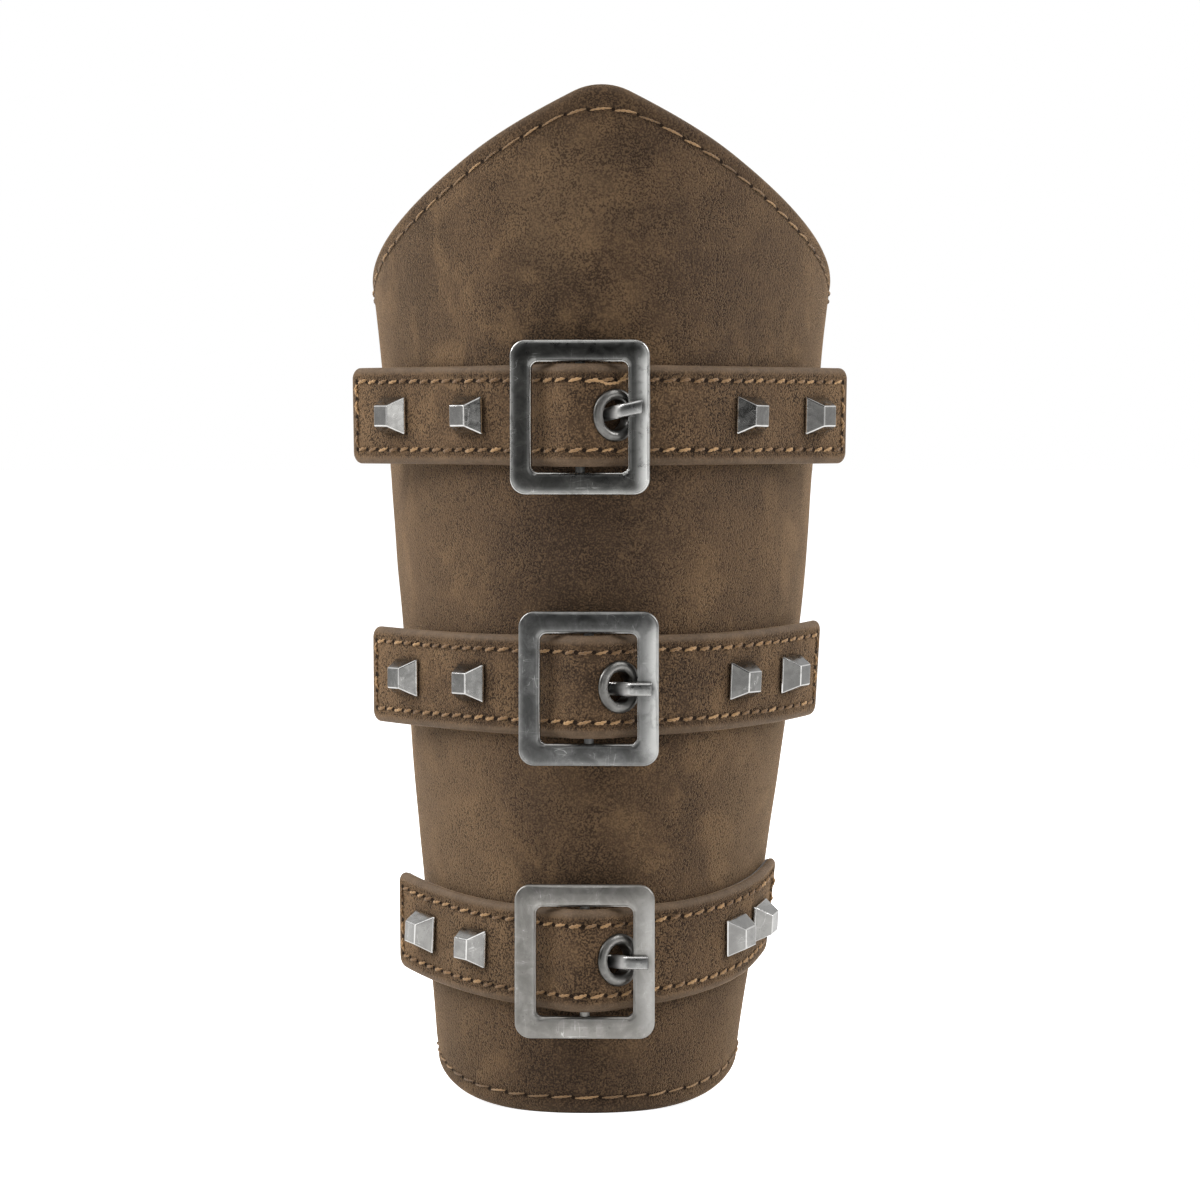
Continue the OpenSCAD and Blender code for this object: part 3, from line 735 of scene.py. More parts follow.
def brushed_leather(name, tones, patches_and_shade, grain, depth, cloud, patch, patchy):
    """Nubuck-like leather: cloudy colour, winding grain that comes and goes, scuffs, and smooth pale rims."""
    dark, middle, light, rim = tones
    s = Shader(name, Sheen_Weight=0.66, Sheen_Roughness=0.25, Sheen_Tint=SHEEN, Specular_IOR_Level=0.14)
    clouds = s.noise(cloud, 3, 0.55, 0.5)
    patches = s.noise(patch, 4, 0.6, 0.5)
    worms = s.noise(grain, 0.2, 0.5, 0.25)
    fine = s.noise(0.33, 1, 0.6, 0.2)
    gathered = s.span(s.noise(8, 3, 0.6, 0.5), 0.34, 0.62, 0.40, 1.0)
    rim_mark = s.mark("rim")
    open_grain = s.less(1.0, s.times(rim_mark, 0.75))
    drawn = s.times(s.times(s.span(worms, 0.50, 0.42), gathered), open_grain)
    crests = s.times(s.span(worms, 0.53, 0.63), s.span(fine, 0.36, 0.56))
    scuffs = s.noise(3.4, 2, 0.5, 1.5, s.place((0.25, 1, 1), (0, 35, 20)))
    scuff_lines = s.times(s.ridge(scuffs, 0.016), s.span(patches, 0.50, 0.60))
    tone = s.mix(s.span(clouds, 0.36, 0.62), dark, middle)
    tone = s.mix(s.times(s.span(patches, 0.44, 0.70), patchy), tone, light)
    # Darker patches of painted shade, and paler ones that are partly own colour and partly painted light.
    for place, reach, shade, amount in patches_and_shade:
        tone = s.mix(s.times(s.soft_patch(place, reach, clouds), amount), tone, shade)
    # Worn places turn lighter; the extra lightness on the straps' left ends is painted light, for tails that
    # turn towards the left lamp.
    tone = s.mix(s.times(s.mark("wear_and_painted_light"), s.span(fine, 0.2, 0.6, 0.6, 1.0)), tone, light)
    tone = s.mix(s.times(drawn, depth), tone, scaled(dark, 0.3))
    # Grain crests are turned lighter: a painted highlight.
    tone = s.mix(s.times(crests, depth * 0.6), tone, scaled(light, 1.3))
    tone = s.mix(s.times(scuff_lines, 0.35), tone, light)
    rim_tone = s.mix(s.span(s.noise(4, 4, 0.65), 0.35, 0.65), scaled(rim, 0.7), rim)
    tone = s.mix(s.times(rim_mark, 0.75), tone, rim_tone)
    # Marked grooves, needle-hole dimples and stud bases are darkened: painted shade.
    tone = s.mix(s.times(s.mark("crease_shade"), 0.7), tone, scaled(dark, 0.3))
    height = s.less(s.times(worms, 0.6), s.times(drawn, 0.5))
    height = s.times(s.plus(height, s.times(fine, 0.25)), open_grain)
    normal = s.relief(height, 0.3, 0.9, s.relief(patches, 0.5, 0.35))
    rough = s.less(s.span(fine, 0.3, 0.7, 0.74, 0.9), s.times(rim_mark, 0.22))
    return s.done(tone, rough, normal)


def split_leather(name, dark, light):
    """The plain flesh side: fibrous and matt."""
    s = Shader(name, Sheen_Weight=0.35, Sheen_Roughness=0.5, Specular_IOR_Level=0.2)
    clouds = s.noise(14, 4, 0.6, 0.5)
    fibres = s.noise(0.5, 4, 0.7, 2.0)
    tone = s.mix(s.span(clouds, 0.35, 0.65), dark, light)
    tone = s.mix(s.span(fibres, 0.5, 0.7, 0, 0.45), tone, scaled(light, 1.5))
    tone = s.mix(s.span(fibres, 0.5, 0.3, 0, 0.5), tone, scaled(dark, 0.5))
    return s.done(tone, s.span(fibres, 0.3, 0.7, 0.85, 0.97), s.relief(fibres, 0.25, 0.9))


def twisted_thread(name, dark, light):
    """Waxed thread: strands that wind round it, and a tone for each stitch."""
    s = Shader(name, Sheen_Weight=0.2, Sheen_Roughness=0.4, Specular_IOR_Level=0.45)
    uv = s.node("ShaderNodeUVMap", uv_map="thread").outputs["UV"]
    parts = s.node("ShaderNodeSeparateXYZ")
    s.put(uv, parts.inputs[0])
    wind = s.less(s.times(parts.outputs["X"], 0.5), parts.outputs["Y"])
    strands = s.math("SINE", s.times(wind, 6 * math.pi))
    fuzz = s.noise(0.25, 3, 0.7)
    shade = s.plus(s.times(s.mark("tone"), 0.6), s.times(fuzz, 0.4))
    tone = s.mix(s.span(shade, 0.15, 0.85), dark, light)
    # Darker between the strands: painted shade in their grooves.
    tone = s.mix(s.span(strands, 0.1, -1, 0, 0.3), tone, scaled(dark, 0.5))
    normal = s.relief(fuzz, 0.06, 0.6, s.relief(strands, 0.04, 0.8))
    return s.done(tone, s.span(fuzz, 0.3, 0.7, 0.55, 0.8), normal)


def antique_metal(name, dark, middle, bright, rough, patina):
    """Antiqued nickel: cloudy dark patina, bright along the edges as wear and painted highlight, with a few
    faint hairlines.
    """
    s = Shader(name, Metallic=1.0)
    clouds = s.noise(6, 4, 0.6, 0.8)
    streaks = s.noise(2.6, 3, 0.65, 0.6)
    specks = s.noise(0.7, 2, 0.7, 0.3)
    hair_a = s.ridge(s.noise(2.4, 1, 0.5, 0.6, s.place((1, 1, 0.14), (0, 52, 0))), 0.008)
    hair_b = s.ridge(s.noise(2.9, 1, 0.5, 0.6, s.place((0.14, 1, 1), (0, 17, 0))), 0.007)
    hairs = s.times(s.math("MAXIMUM", hair_a, hair_b), s.span(clouds, 0.48, 0.66))
    tone = s.mix(s.span(clouds, 0.5 - patina * 0.3, 0.5 + patina * 0.3), dark, middle)
    tone = s.mix(s.span(streaks, 0.42, 0.70, 0, 0.55), tone, dark)
    tone = s.mix(s.span(specks, 0.62, 0.75, 0, 0.5), tone, scaled(dark, 0.5))
    tone = s.mix(s.times(hairs, 0.45), tone, bright)
    # The right bar is brightened where marked: a painted reflection.
    bar_reflection = s.times(s.mark("painted_reflection"), s.span(streaks, 0.28, 0.52, 0.65, 1.0))
    tone = s.mix(bar_reflection, tone, scaled(bright, 0.8))
    worn_and_lit_edges = s.times(s.mark("edge"), s.span(s.noise(2.2, 3, 0.6), 0.25, 0.5, 0.6, 1.0))
    tone = s.mix(worn_and_lit_edges, tone, bright)
    # Where marked, the metal is painted bright and made rougher: painted light on the prong's climb inside
    # the eyelet.
    tone = s.mix(s.mark("dull_and_painted_light"), tone, bright)
    # The prong's tip is darkened where marked: painted shade against the bar.
    tone = s.mix(s.mark("painted_tip_shade"), tone, scaled(dark, 0.15))
    roughness = s.span(streaks, 0.3, 0.7, rough - 0.05, rough + 0.08)
    roughness = s.less(roughness, s.times(worn_and_lit_edges, 0.08))
    roughness = s.plus(roughness, s.times(s.mark("dull_and_painted_light"), 0.35))
    height = s.less(s.times(specks, 0.3), s.times(hairs, 0.4))
    normal = s.relief(height, 0.02, 0.7, s.relief(clouds, 0.10, 0.2))
    return s.done(tone, roughness, normal)


def pressed_board(name):
    s = Shader(name)
    fibres = s.noise(0.8, 4, 0.7, 1.5)
    tone = s.mix(s.span(fibres, 0.3, 0.7), (0.22, 0.16, 0.10), (0.36, 0.28, 0.18))
    return s.done(tone, 0.9, s.relief(fibres, 0.1, 0.6))


# Near-black for the needle holes' dishes: painted shade.
def needle_hole_shade(name):
    s = Shader(name, Specular_IOR_Level=0.1)
    fuzz = s.noise(0.4, 2)
    return s.done(s.mix(fuzz, (0.010, 0.006, 0.004), (0.024, 0.015, 0.009)), 0.95)


# Colours are dark, middle, light and, for the leathers, the rim
PANEL_TONES = (0.052, 0.0315, 0.018), (0.085, 0.0515, 0.0285), (0.15, 0.092, 0.048), (0.096, 0.065, 0.041)
STRAP_TONES = (0.06, 0.036, 0.02), (0.098, 0.059, 0.032), (0.165, 0.101, 0.053), (0.135, 0.094, 0.062)
BACKING_TONES = (0.060, 0.038, 0.023), (0.105, 0.068, 0.042)
LINING_TONES = (0.055, 0.036, 0.023), (0.090, 0.061, 0.040)
THREAD_TONES = (0.16, 0.085, 0.032), (0.46, 0.272, 0.120)
PANEL_THREAD_TONES = (0.15, 0.083, 0.034), (0.38, 0.225, 0.100)

# Metals: dark, middle and bright tones, roughness, and how widely the patina's clouds spread
METALS = {
    # The three frames are one antiqued nickel in lighter and darker tones, painted light and shade: the wrist
    # frame lightest, the elbow frame darkest.
    "wrist_frame": ((0.19, 0.183, 0.169), (0.28, 0.271, 0.253), (0.76, 0.75, 0.73), 0.38, 0.6),
    "middle_frame": ((0.072, 0.072, 0.070), (0.14, 0.14, 0.137), (0.72, 0.72, 0.70), 0.33, 0.55),
    "elbow_frame": ((0.036, 0.036, 0.034), (0.085, 0.084, 0.079), (0.66, 0.66, 0.64), 0.32, 0.6),
    "wrist_stud": ((0.18, 0.176, 0.169), (0.27, 0.266, 0.254), (0.80, 0.79, 0.77), 0.15, 0.6),
    "middle_stud": ((0.10, 0.098, 0.094), (0.155, 0.153, 0.146), (0.80, 0.79, 0.77), 0.15, 0.6),
    "elbow_stud": ((0.19, 0.186, 0.178), (0.28, 0.276, 0.264), (0.85, 0.84, 0.82), 0.15, 0.6),
    "eyelet": ((0.085, 0.083, 0.078), (0.165, 0.161, 0.152), (0.42, 0.41, 0.39), 0.34, 0.5),
    "prong": ((0.17, 0.17, 0.166), (0.30, 0.30, 0.29), (0.80, 0.79, 0.77), 0.28, 0.5),
}

# Leathers: width and strength of the grain, width of the clouds and patches, and the patches' strength
PANEL_GRAIN = {"grain": 0.46, "depth": 0.62, "cloud": 42, "patch": 14, "patchy": 0.8}
STRAP_GRAIN = {"grain": 0.49, "depth": 0.78, "cloud": 30, "patch": 9, "patchy": 0.75}

# Darker and paler places: middle, reach, tone and strength. The darker ones are painted shade, mostly over
# the front; the paler ones are partly the leather's own colour and partly painted light.
PAINTED_SHADE_TONE, PALE_AND_LIT_TONE = (0.046, 0.029, 0.019), (0.175, 0.112, 0.062)
PANEL_PATCHES_AND_SHADE = [
    ((0, -54, 148), (40, 50, 30), PAINTED_SHADE_TONE, 0.75), ((32, -45, 222), (30, 50, 46), PAINTED_SHADE_TONE, 0.6),
    ((4, -54, 8), (24, 50, 18), PAINTED_SHADE_TONE, 0.7), ((-16, -54, 82), (26, 50, 15), PAINTED_SHADE_TONE, 0.6),
    ((-10, -54, 232), (18, 50, 20), PALE_AND_LIT_TONE, 0.45), ((-38, -40, 62), (20, 50, 54), PALE_AND_LIT_TONE, 0.4),
    ((44, -35, 76), (16, 50, 50), PALE_AND_LIT_TONE, 0.4),
]
STRAP_PATCHES_AND_SHADE = [
    ((4, -58, 110), (30, 30, 16), PAINTED_SHADE_TONE, 0.4), ((48, -40, 177), (30, 40, 16), PAINTED_SHADE_TONE, 0.35),
    ((-34, -45, 40), (24, 40, 16), PALE_AND_LIT_TONE, 0.35), ((8, -60, 40), (24, 30, 16), PAINTED_SHADE_TONE, 0.25),
]

M = {
    "panel": brushed_leather("panel_leather", PANEL_TONES, PANEL_PATCHES_AND_SHADE, **PANEL_GRAIN),
    "strap": brushed_leather("strap_leather", STRAP_TONES, STRAP_PATCHES_AND_SHADE, **STRAP_GRAIN),
    "backing": split_leather("backing_leather", *BACKING_TONES),
    "lining": split_leather("lining_leather", *LINING_TONES),
    "board": pressed_board("fibre_board"),
    "thread": twisted_thread("waxed_thread", *THREAD_TONES),
    "panel_thread": twisted_thread("panel_thread", *PANEL_THREAD_TONES),
    "hole": needle_hole_shade("needle_hole_shade"),
}
M.update({key: antique_metal(f"{key}_metal", *values) for key, values in METALS.items()})


# Panel
def panel_stitch_paths():
    """The rows of stitches round the panel: along the top, the hem, the right edge and the left edge."""

    def side_turn(z):
        return EDGE_TURN - PANEL_ROW / curl_r(z) * DEG

    def top_row(t):
        s = girth(t, ELBOW_LEVEL)
        slope = top_slope(t)
        edge = top_at(s) - PANEL_ROW * math.sqrt(1 + slope * slope)
        if s < PEAK_ROW_ROUND * sin(PEAK_SLOPE):
            peak = PANEL_H - PEAK_ROW_DROP - PEAK_ROW_ROUND
            edge = min(edge, peak + math.sqrt(PEAK_ROW_ROUND**2 - s * s))
        return edge

    def hem_row(t):
        return hem_edge(t) + PANEL_ROW

    corner = side_turn(top_edge(EDGE_TURN))
    foot = side_turn(0)
    steps = 600
    top = [surface(t, top_row(t)) for t in spread(-corner, corner, steps)]
    hem = [surface(t, hem_row(t)) for t in spread(-foot, foot, steps)]
    heights = spread(hem_row(foot), top_row(corner), steps)
    right = [surface(side_turn(z), z) for z in heights]
    left = [surface(-side_turn(z), z) for z in heights]
    return [Path(top), Path(hem), Path(right), Path(left)]


# Distances from an edge where the panel's grid has a line
EDGE_STEPS = [0, 0.06, 0.25, 0.6, 1.0, 1.5, 2.0, 2.35, 2.6, 2.85, 3.2, 3.7, 4.2, 4.7, 5.3, 6.2]

# The panel's grid: height of its levels from hem to top edge, and the steps away from the edges
GRID_H = 1000
GRID_RUN, GRID_RISE = 1.25, 8.0

# A corner is softened within a reach, where its two edges are about as near as each other
CORNER_REACH, CORNER_SOFT, CORNER_DROP = 6, 1.5, 0.35


def make_outer_leather(rows, cutters):
    pulled = dimple_field(rows, *PANEL_DIMPLE)
    girth_all = girth(EDGE_TURN, ELBOW_LEVEL)
    runs = dense_ends(2 * girth_all, EDGE_STEPS, GRID_RUN)
    turns = [turn_at(r - girth_all, ELBOW_LEVEL) for r in runs]
    levels = dense_ends(GRID_H, EDGE_STEPS, GRID_RISE)
    hem_of = [hem_edge(t) for t in turns]
    top_of = [top_edge(t) for t in turns]
    slope_of = [math.sqrt(1 + top_slope(t) ** 2) for t in turns]
    edge = EDGE_STEPS[-1]

    def height_and_gap(i, j):
        """A grid place's height and its distance from the nearest edge, less in a corner."""
        level, hem, top = levels[j], hem_of[i], top_of[i]
        if level <= edge:
            z = hem + level
        elif level >= GRID_H - edge:
            z = top - (GRID_H - level) * slope_of[i]
        else:
            f = (level - edge) / (GRID_H - 2 * edge)
            z = hem + edge + (top - edge * slope_of[i] - hem - edge) * f
        side = min(runs[i], runs[-1] - runs[i]) * curl_r(z) / curl_r(ELBOW_LEVEL)
        near, second, _ = sorted((z - hem, (top - z) / slope_of[i], side))
        if second < CORNER_REACH:
            between = max(0, 1 - (second - near) / CORNER_SOFT)
            near = max(0, near - CORNER_DROP * between * min(1, near))
        return z, near

    def outer(i, j):
        z, d = height_and_gap(i, j)
        p, n = surface(turns[i], z)
        off = rounding(d, SHELL_T / 2) + folds(d, PANEL_FOLDS)
        waves = noise.noise(p / 34) * 0.35 + noise.noise(p / 12) * 0.10
        off += waves * smooth_step(d, 1, 9)
        off -= pulled(p)
        q, _ = surface(turns[i], z, off)
        rim = 0.45 * (1 - smooth_step(d, 0.6, 2.6))
        # Darker along the stitch groove and in the needle-hole dimples: painted shade.
        crease_shade = 0.25 * bump(d, PANEL_ROW, 0.9) + pulled(p) * 1.6
        return q, rim, min(1, crease_shade), 0.0

    def inner(i, j):
        z, d = height_and_gap(i, j)
        turned = -SHELL_T - rounding(d, SHELL_T / 2)
        off = turned + (SHELL_T - LEATHER_T) * smooth_step(d, RIM_W - 0.15, RIM_W + 0.1)
        q, _ = surface(turns[i], z, off)
        return q, 1 - smooth_step(d, 1.9, 2.5), 0.0, 0.0

    mesh = closed_sheet("panel_leather", range(len(levels)), range(len(turns)), outer, inner)
    drill(add_object(mesh, "cuff", M["panel"], ["outer_panel"]), cutters)


def make_lining(cutters):
    """The lining, inside the rim that the outer leather is turned over."""
    end = EDGE_TURN - RIM_W / curl_r(120) * DEG
    turns = spread(-end, end, 150)
    steps = [0, 0.15, 0.5, 1.2, 3] + [6 + 2.6 * k for k in range(81)]
    span = steps[-1] + 3
    shares = sorted({s / span for s in steps} | {1 - s / span for s in (1.2, 0.5, 0.15, 0)})

    def side(depth, sink):
        def place(i, j):
            t = turns[i]
            hem, top = hem_edge(t), top_edge(t)
            z = hem + RIM_W + (top - 1.1 * RIM_W - hem - RIM_W) * shares[j]
            d = min(z - hem, top - z, (EDGE_TURN - abs(t)) * curl_r(z) / DEG) - RIM_W
            q, _ = surface(t, z, depth + sink * rounding(max(d, 0), 0.4))
            return q, 0.0, bump(d, 0.2, 0.4), 0.0

        return place

    faces = side(-SHELL_T + LINING_T, 0), side(-SHELL_T + 0.02, -1)
    mesh = closed_sheet("lining_leather", range(len(shares)), range(len(turns)), *faces)
    drill(add_object(mesh, "cuff", M["lining"], ["lining"]), cutters)


def make_panel():
    rows = [(path, path.holes(PANEL_PITCH)) for path in panel_stitch_paths()]
    cutters = [(p, n, LACE_BORE / 2 + BARREL_WALL + HOLE_PLAY, 14) for _, p, n in lace_places()]
    make_outer_leather(rows, cutters)
    make_lining(cutters)
    threads = Threads()
    add_stitches(threads, rows, PANEL_THREAD)
    add_object(threads.mesh("panel_stitching"), "cuff", M["panel_thread"])
    add_object(hole_mesh("panel_needle_holes", rows, PANEL_HOLE), "cuff", M["hole"])


def lace_places():
    """Side, place and outward direction of each lacing eyelet."""
    high = top_edge(EDGE_TURN) - LACE_DROP
    places = []
    for side in (-1, 1):
        for k in range(LACE_COUNT):
            z = LACE_LOW + (high - LACE_LOW) * k / (LACE_COUNT - 1)
            t = side * (EDGE_TURN - LACE_INSET / (CURL_SHARE * lookup(z, HALF_WIDTHS)) * DEG)
            p, n = surface(t, z, SEAT_GAP / 2)
            places.append((side, p, n))
    return places


# Turned metal pieces
def square_to(way, right):
    """The upward direction square to both."""
    top = way.cross(right).normalized()
    return -top if top.z < 0 else top


def frame_at(place, way):
    """A seat for a turned piece: its place, two directions square to way, and way."""
    top = square_to(way, Vector((0, 0, 1)).cross(way).normalized())
    return place, top.cross(way).normalized(), top, way


def lathe(profile, seats, sides):
    """A closed profile of (radius, height, edge mark) turned at each seat, as points, faces and marks."""
    points, faces, edges = [], [], []
    for place, right, top, way in seats:
        faces += bands(sides, len(profile), len(points), closed=True)
        for k in range(sides):
            a = 360 * k / sides
            for radius, height, edge in profile:
                points.append(place + (right * cos(a) + top * sin(a)) * radius + way * height)
                edges.append(edge)
    return points, faces, edges


def eyelet_profile(bore, flange, grip, dome):
    """An eyelet's section: domed ring, barrel and the end rolled over behind."""
    middle = (bore + flange) / 2
    half = (flange - bore) / 2
    ring = []
    for a in spread(0, 180, 12):
        ring.append((middle - half * cos(a), max(0.05, dome * sin(a) ** 0.8), bump(a, 70, 35) * 0.5))
    barrel = bore + BARREL_WALL
    low = -grip - WASHER_T
    lowest = low - WASHER_T * 0.8
    tail = [(flange - 0.25, 0.0, 0), (barrel, 0.0, 0), (barrel, low, 0), (barrel + WASHER_T, low - 0.05, 0)]
    roll = [(barrel + WASHER_T, lowest, 0.4), (barrel, low - WASHER_T, 0.3), (bore + 0.1, lowest, 0)]
    return ring + tail + roll + [(bore, low, 0)]


def washer_profile(bore, rim, grip):
    inner, shoulder = bore + BARREL_WALL + 0.05, rim - 0.1
    low, high = -grip - WASHER_T, -grip - 0.1 * WASHER_T
    back = [(inner, low, 0), (inner, high, 0), (shoulder, high, 0)]
    return back + [(rim, (low + high) / 2, 0.6), (shoulder, low, 0.4)]


def cap_profile(top, low, radius):
    front = [(0.02, low, 0.2), (0.02, top, 0), (radius - 0.1, top, 0), (radius, top - 0.15, 0.3)]
    rim = [(radius - 0.05, (top + low) / 2, 0.6), (radius - 0.5, low + 0.12, 0.5)]
    return front + rim + [(radius * 0.6, low, 0.2)]


def make_eyelets(nodes, seats, bore, flange, grip, dome, sides):
    """An eyelet and its washer at each seat. nodes are the construction's names for the two."""
    rim = bore / 2 + BARREL_WALL + WASHER_RIM
    profiles = eyelet_profile(bore / 2, flange / 2, grip, dome), washer_profile(bore / 2, rim, grip)
    for node, profile in zip(nodes, profiles):
        mesh = joined(f"{node}_turned", [lathe(profile, seats, sides)], smooth=True)
        add_object(mesh, "cuff", M["eyelet"], [node])


def lace_grip(z):
    """The thickness that a lacing eyelet clamps, as the construction has it."""
    rim = LACE_BORE / 2 + BARREL_WALL + WASHER_RIM
    t = EDGE_TURN - LACE_INSET / curl_r(z) * DEG
    change = abs(lean(t, z + rim) - lean(t, z - rim))
    return SHELL_T + 2 * SEAT_GAP + rim**2 / 2 / (curl_r(z) - SHELL_T) + change * rim / 2


def make_lacing():
    for side, name in ((-1, "left"), (1, "right")):
        places = [(p, n) for s, p, n in lace_places() if s == side]
        seats = [frame_at(p, n) for p, n in places]
        grip = sum(lace_grip(p.z) for p, n in places) / LACE_COUNT
        nodes = f"lace_eyelets_{name}", f"lace_washers_{name}"
        make_eyelets(nodes, seats, LACE_BORE, LACE_FLANGE, grip, LACE_DOME, 48)


# Straps
HUMP_TOP = -(EYE_R + SEAT_GAP + STRAP_T / 2)
HUMP_END = Vector((HUMP_ROUND * sin(HUMP_TURN), HUMP_TOP + HUMP_ROUND * (1 - cos(HUMP_TURN))))


class Strap:
    """The path of one strap over its buckle's bar, down to the panel, along it and off as two free tails."""

    def __init__(self, k):
        self.k = k
        self.z = LEVELS[k]
        self.r = crown_r(self.z)
        self.buckle = BUCKLE_TURN[k]
        q = HUMP_END + FOOT_ROUND * outward(HUMP_TURN) - Vector((0, BAR_STAND + self.r))
        along = q.dot(onward(HUMP_TURN))
        reach = self.r + STRAP_MID + FOOT_ROUND
        self.run = -along - math.sqrt(along * along - q.dot(q) + reach * reach)
        self.foot_centre = HUMP_END + self.run * onward(HUMP_TURN) + FOOT_ROUND * outward(HUMP_TURN)
        c = self.foot_centre - Vector((0, BAR_STAND + self.r))
        self.foot = math.atan2(c.x, -c.y) * DEG
        self.hump_l = HUMP_ROUND * HUMP_TURN / DEG
        self.foot_l = self.hump_l + self.run + FOOT_ROUND * (HUMP_TURN - self.foot) / DEG
        self.start, self.leave_l, self.total = {}, {}, {}
        for side in (-1, 1):
            start, leave = self.foot + side * self.buckle, LEAVE[side][k]
            self.start[side] = start
            run = girth(leave, self.z) - girth(start, self.z) + STRAP_MID * (leave - start) / DEG
            self.leave_l[side] = self.foot_l + run
            self.total[side] = self.leave_l[side] + TAIL[side][k]

    def placed(self, side, v):
        """From a point beside the bar to the plan."""
        turned = spin((side * v[0], v[1] - BAR_STAND - self.r), self.buckle)
        return Vector((shift_x(self.z), self.r - FRONT_REACH)) + turned

    def climb(self, side, s):
        return RISE[side][self.k] * (s / self.total[side]) ** 2

    def station(self, s):
        """Plan, turn, lean and rise at a signed length from the bar."""
        side = -1 if s < 0 else 1
        s = abs(s)
        k, z = self.k, self.z
        tilt = 0.0
        if s <= self.hump_l:
            t = s / HUMP_ROUND * DEG
            p = self.placed(side, (HUMP_ROUND * sin(t), HUMP_TOP + HUMP_ROUND * (1 - cos(t))))
            turn = side * t + self.buckle
        elif s <= self.hump_l + self.run:
            p = self.placed(side, HUMP_END + (s - self.hump_l) * onward(HUMP_TURN))
            turn = side * HUMP_TURN + self.buckle
        elif s <= self.foot_l:
            t = self.foot + (self.foot_l - s) / FOOT_ROUND * DEG
            p = self.placed(side, self.foot_centre - FOOT_ROUND * outward(t))
            turn = side * t + self.buckle
        elif s <= self.leave_l[side]:
            left = (s - self.foot_l) * DEG
            start = self.start[side]
            crown = (self.r + STRAP_MID) * max(0, CROWN_TURN - start)
            if left < crown:
                t = start + left / (self.r + STRAP_MID)
            else:
                t = max(start, CROWN_TURN) + (left - crown) / (flank_r(z) + STRAP_MID)
            p = skin(side * t, z, STRAP_MID)
            turn = side * t
            tilt = lean(turn, z)
        else:
            leave = LEAVE[side][k]
            u = s - self.leave_l[side]
            t = leave + u / BEND[side][k] * DEG
            step = arc_step(BEND[side][k], leave, t)
            p = skin(side * leave, z, STRAP_MID) + Vector((side * step.x, step.y))
            turn = side * t
            tilt = lean(side * leave, z)
        # The lean comes in over a short run past the foot, so that the face isn't kinked there
        if self.foot_l < s < self.foot_l + LEAN_RUN:
            tilt *= (s - self.foot_l) / LEAN_RUN
        return p, turn, tilt, self.climb(side, s)

    def point(self, s, up, off):
        """A place up across the strap's width and off from its middle layer, and the outward direction."""
        p, turn, tilt, rise = self.station(s)
        n = outward(turn)
        out = off + tilt * (up + rise)
        place = Vector((p.x + n.x * out, p.y + n.y * out, self.z + up + rise))
        return place, Vector((n.x, n.y, -tilt)).normalized()

    def seat(self, side, u):
        """Place and directions at u past where the strap leaves the panel, square to it."""
        s = side * (self.leave_l[side] + u)
        place, way = self.point(s, 0, 0)
        right = (self.point(s + 0.5, 0, 0)[0] - self.point(s - 0.5, 0, 0)[0]).normalized()
        return place, right, square_to(way, right), way

    def half(self, s):
        """Half the strap's width at a length, narrower within the rounded corners."""
        side = -1 if s < 0 else 1
        left = self.total[side] - abs(s)
        if left >= END_ROUND:
            return STRAP_W / 2 + HUMP_SPREAD * bump(s, 0, HUMP_REACH)
        return STRAP_W / 2 - END_ROUND + math.sqrt(max(0, END_ROUND**2 - (END_ROUND - left) ** 2))

    def gap(self, s, up):
        """Distance of a place on the strap from its outline, a rectangle with round corners."""
        side = -1 if s < 0 else 1
        x = self.total[side] - abs(s)
        y = STRAP_W / 2 - abs(up)
        if x < END_ROUND and y < END_ROUND:
            return max(0, END_ROUND - math.hypot(END_ROUND - x, END_ROUND - y))
        return min(x, y)


def strap_stitch_paths(strap):
    """Both long rows and the two short ones at the ends."""
    left = -strap.total[-1] + STRAP_END_ROW
    right = strap.total[1] - STRAP_END_ROW
    high = STRAP_W / 2 - STRAP_ROW
    rows = [[(s, up) for s in spread(left, right, 500)] for up in (high, -high)]
    rows += [[(s, up) for up in spread(-high, high, 40)] for s in (left, right)]
    return [Path([strap.point(s, up, STRAP_T / 2) for s, up in row]) for row in rows]


# A strand that has worked loose in the elbow buckle's window, and its frayed end
SLACK_R, SLACK_TONE, FRAYED_R = 0.36, 0.9, 0.14
SLACK = [
    (3.0, 8.8, 0.2), (4.4, 8.5, 0.9), (6.4, 7.8, 1.0), (9.4, 8.1, 1.0), (11.4, 9.3, 0.9), (12.4, 10.4, 0.8),
]
FRAYED = [
    [(13.1, 11.3, 0.9), (13.5, 11.9, 0.6)],
    [(13.2, 10.9, 1.2), (14.0, 11.2, 1.0)],
    [(13.3, 10.2, 0.8), (14.0, 9.9, 0.5)],
]

# Distances from an edge where a strap's grid has a line, its steps elsewhere, and how far the rim comes in
STRAP_STEPS = [0, 0.05, 0.2, 0.45, 0.8, 1.2, 1.6, 2.0, 2.3, 2.6, 3.0, 3.4, 3.8, 4.3, 5.0]
STRAP_RUN, STRAP_RISE = 0.9, 1.1
STRAP_RIM = 2.3

# The backing beside the face leather: its share of the face's width, and the seam between them
BACKING_SHARE = 0.985
SEAM = 0.03


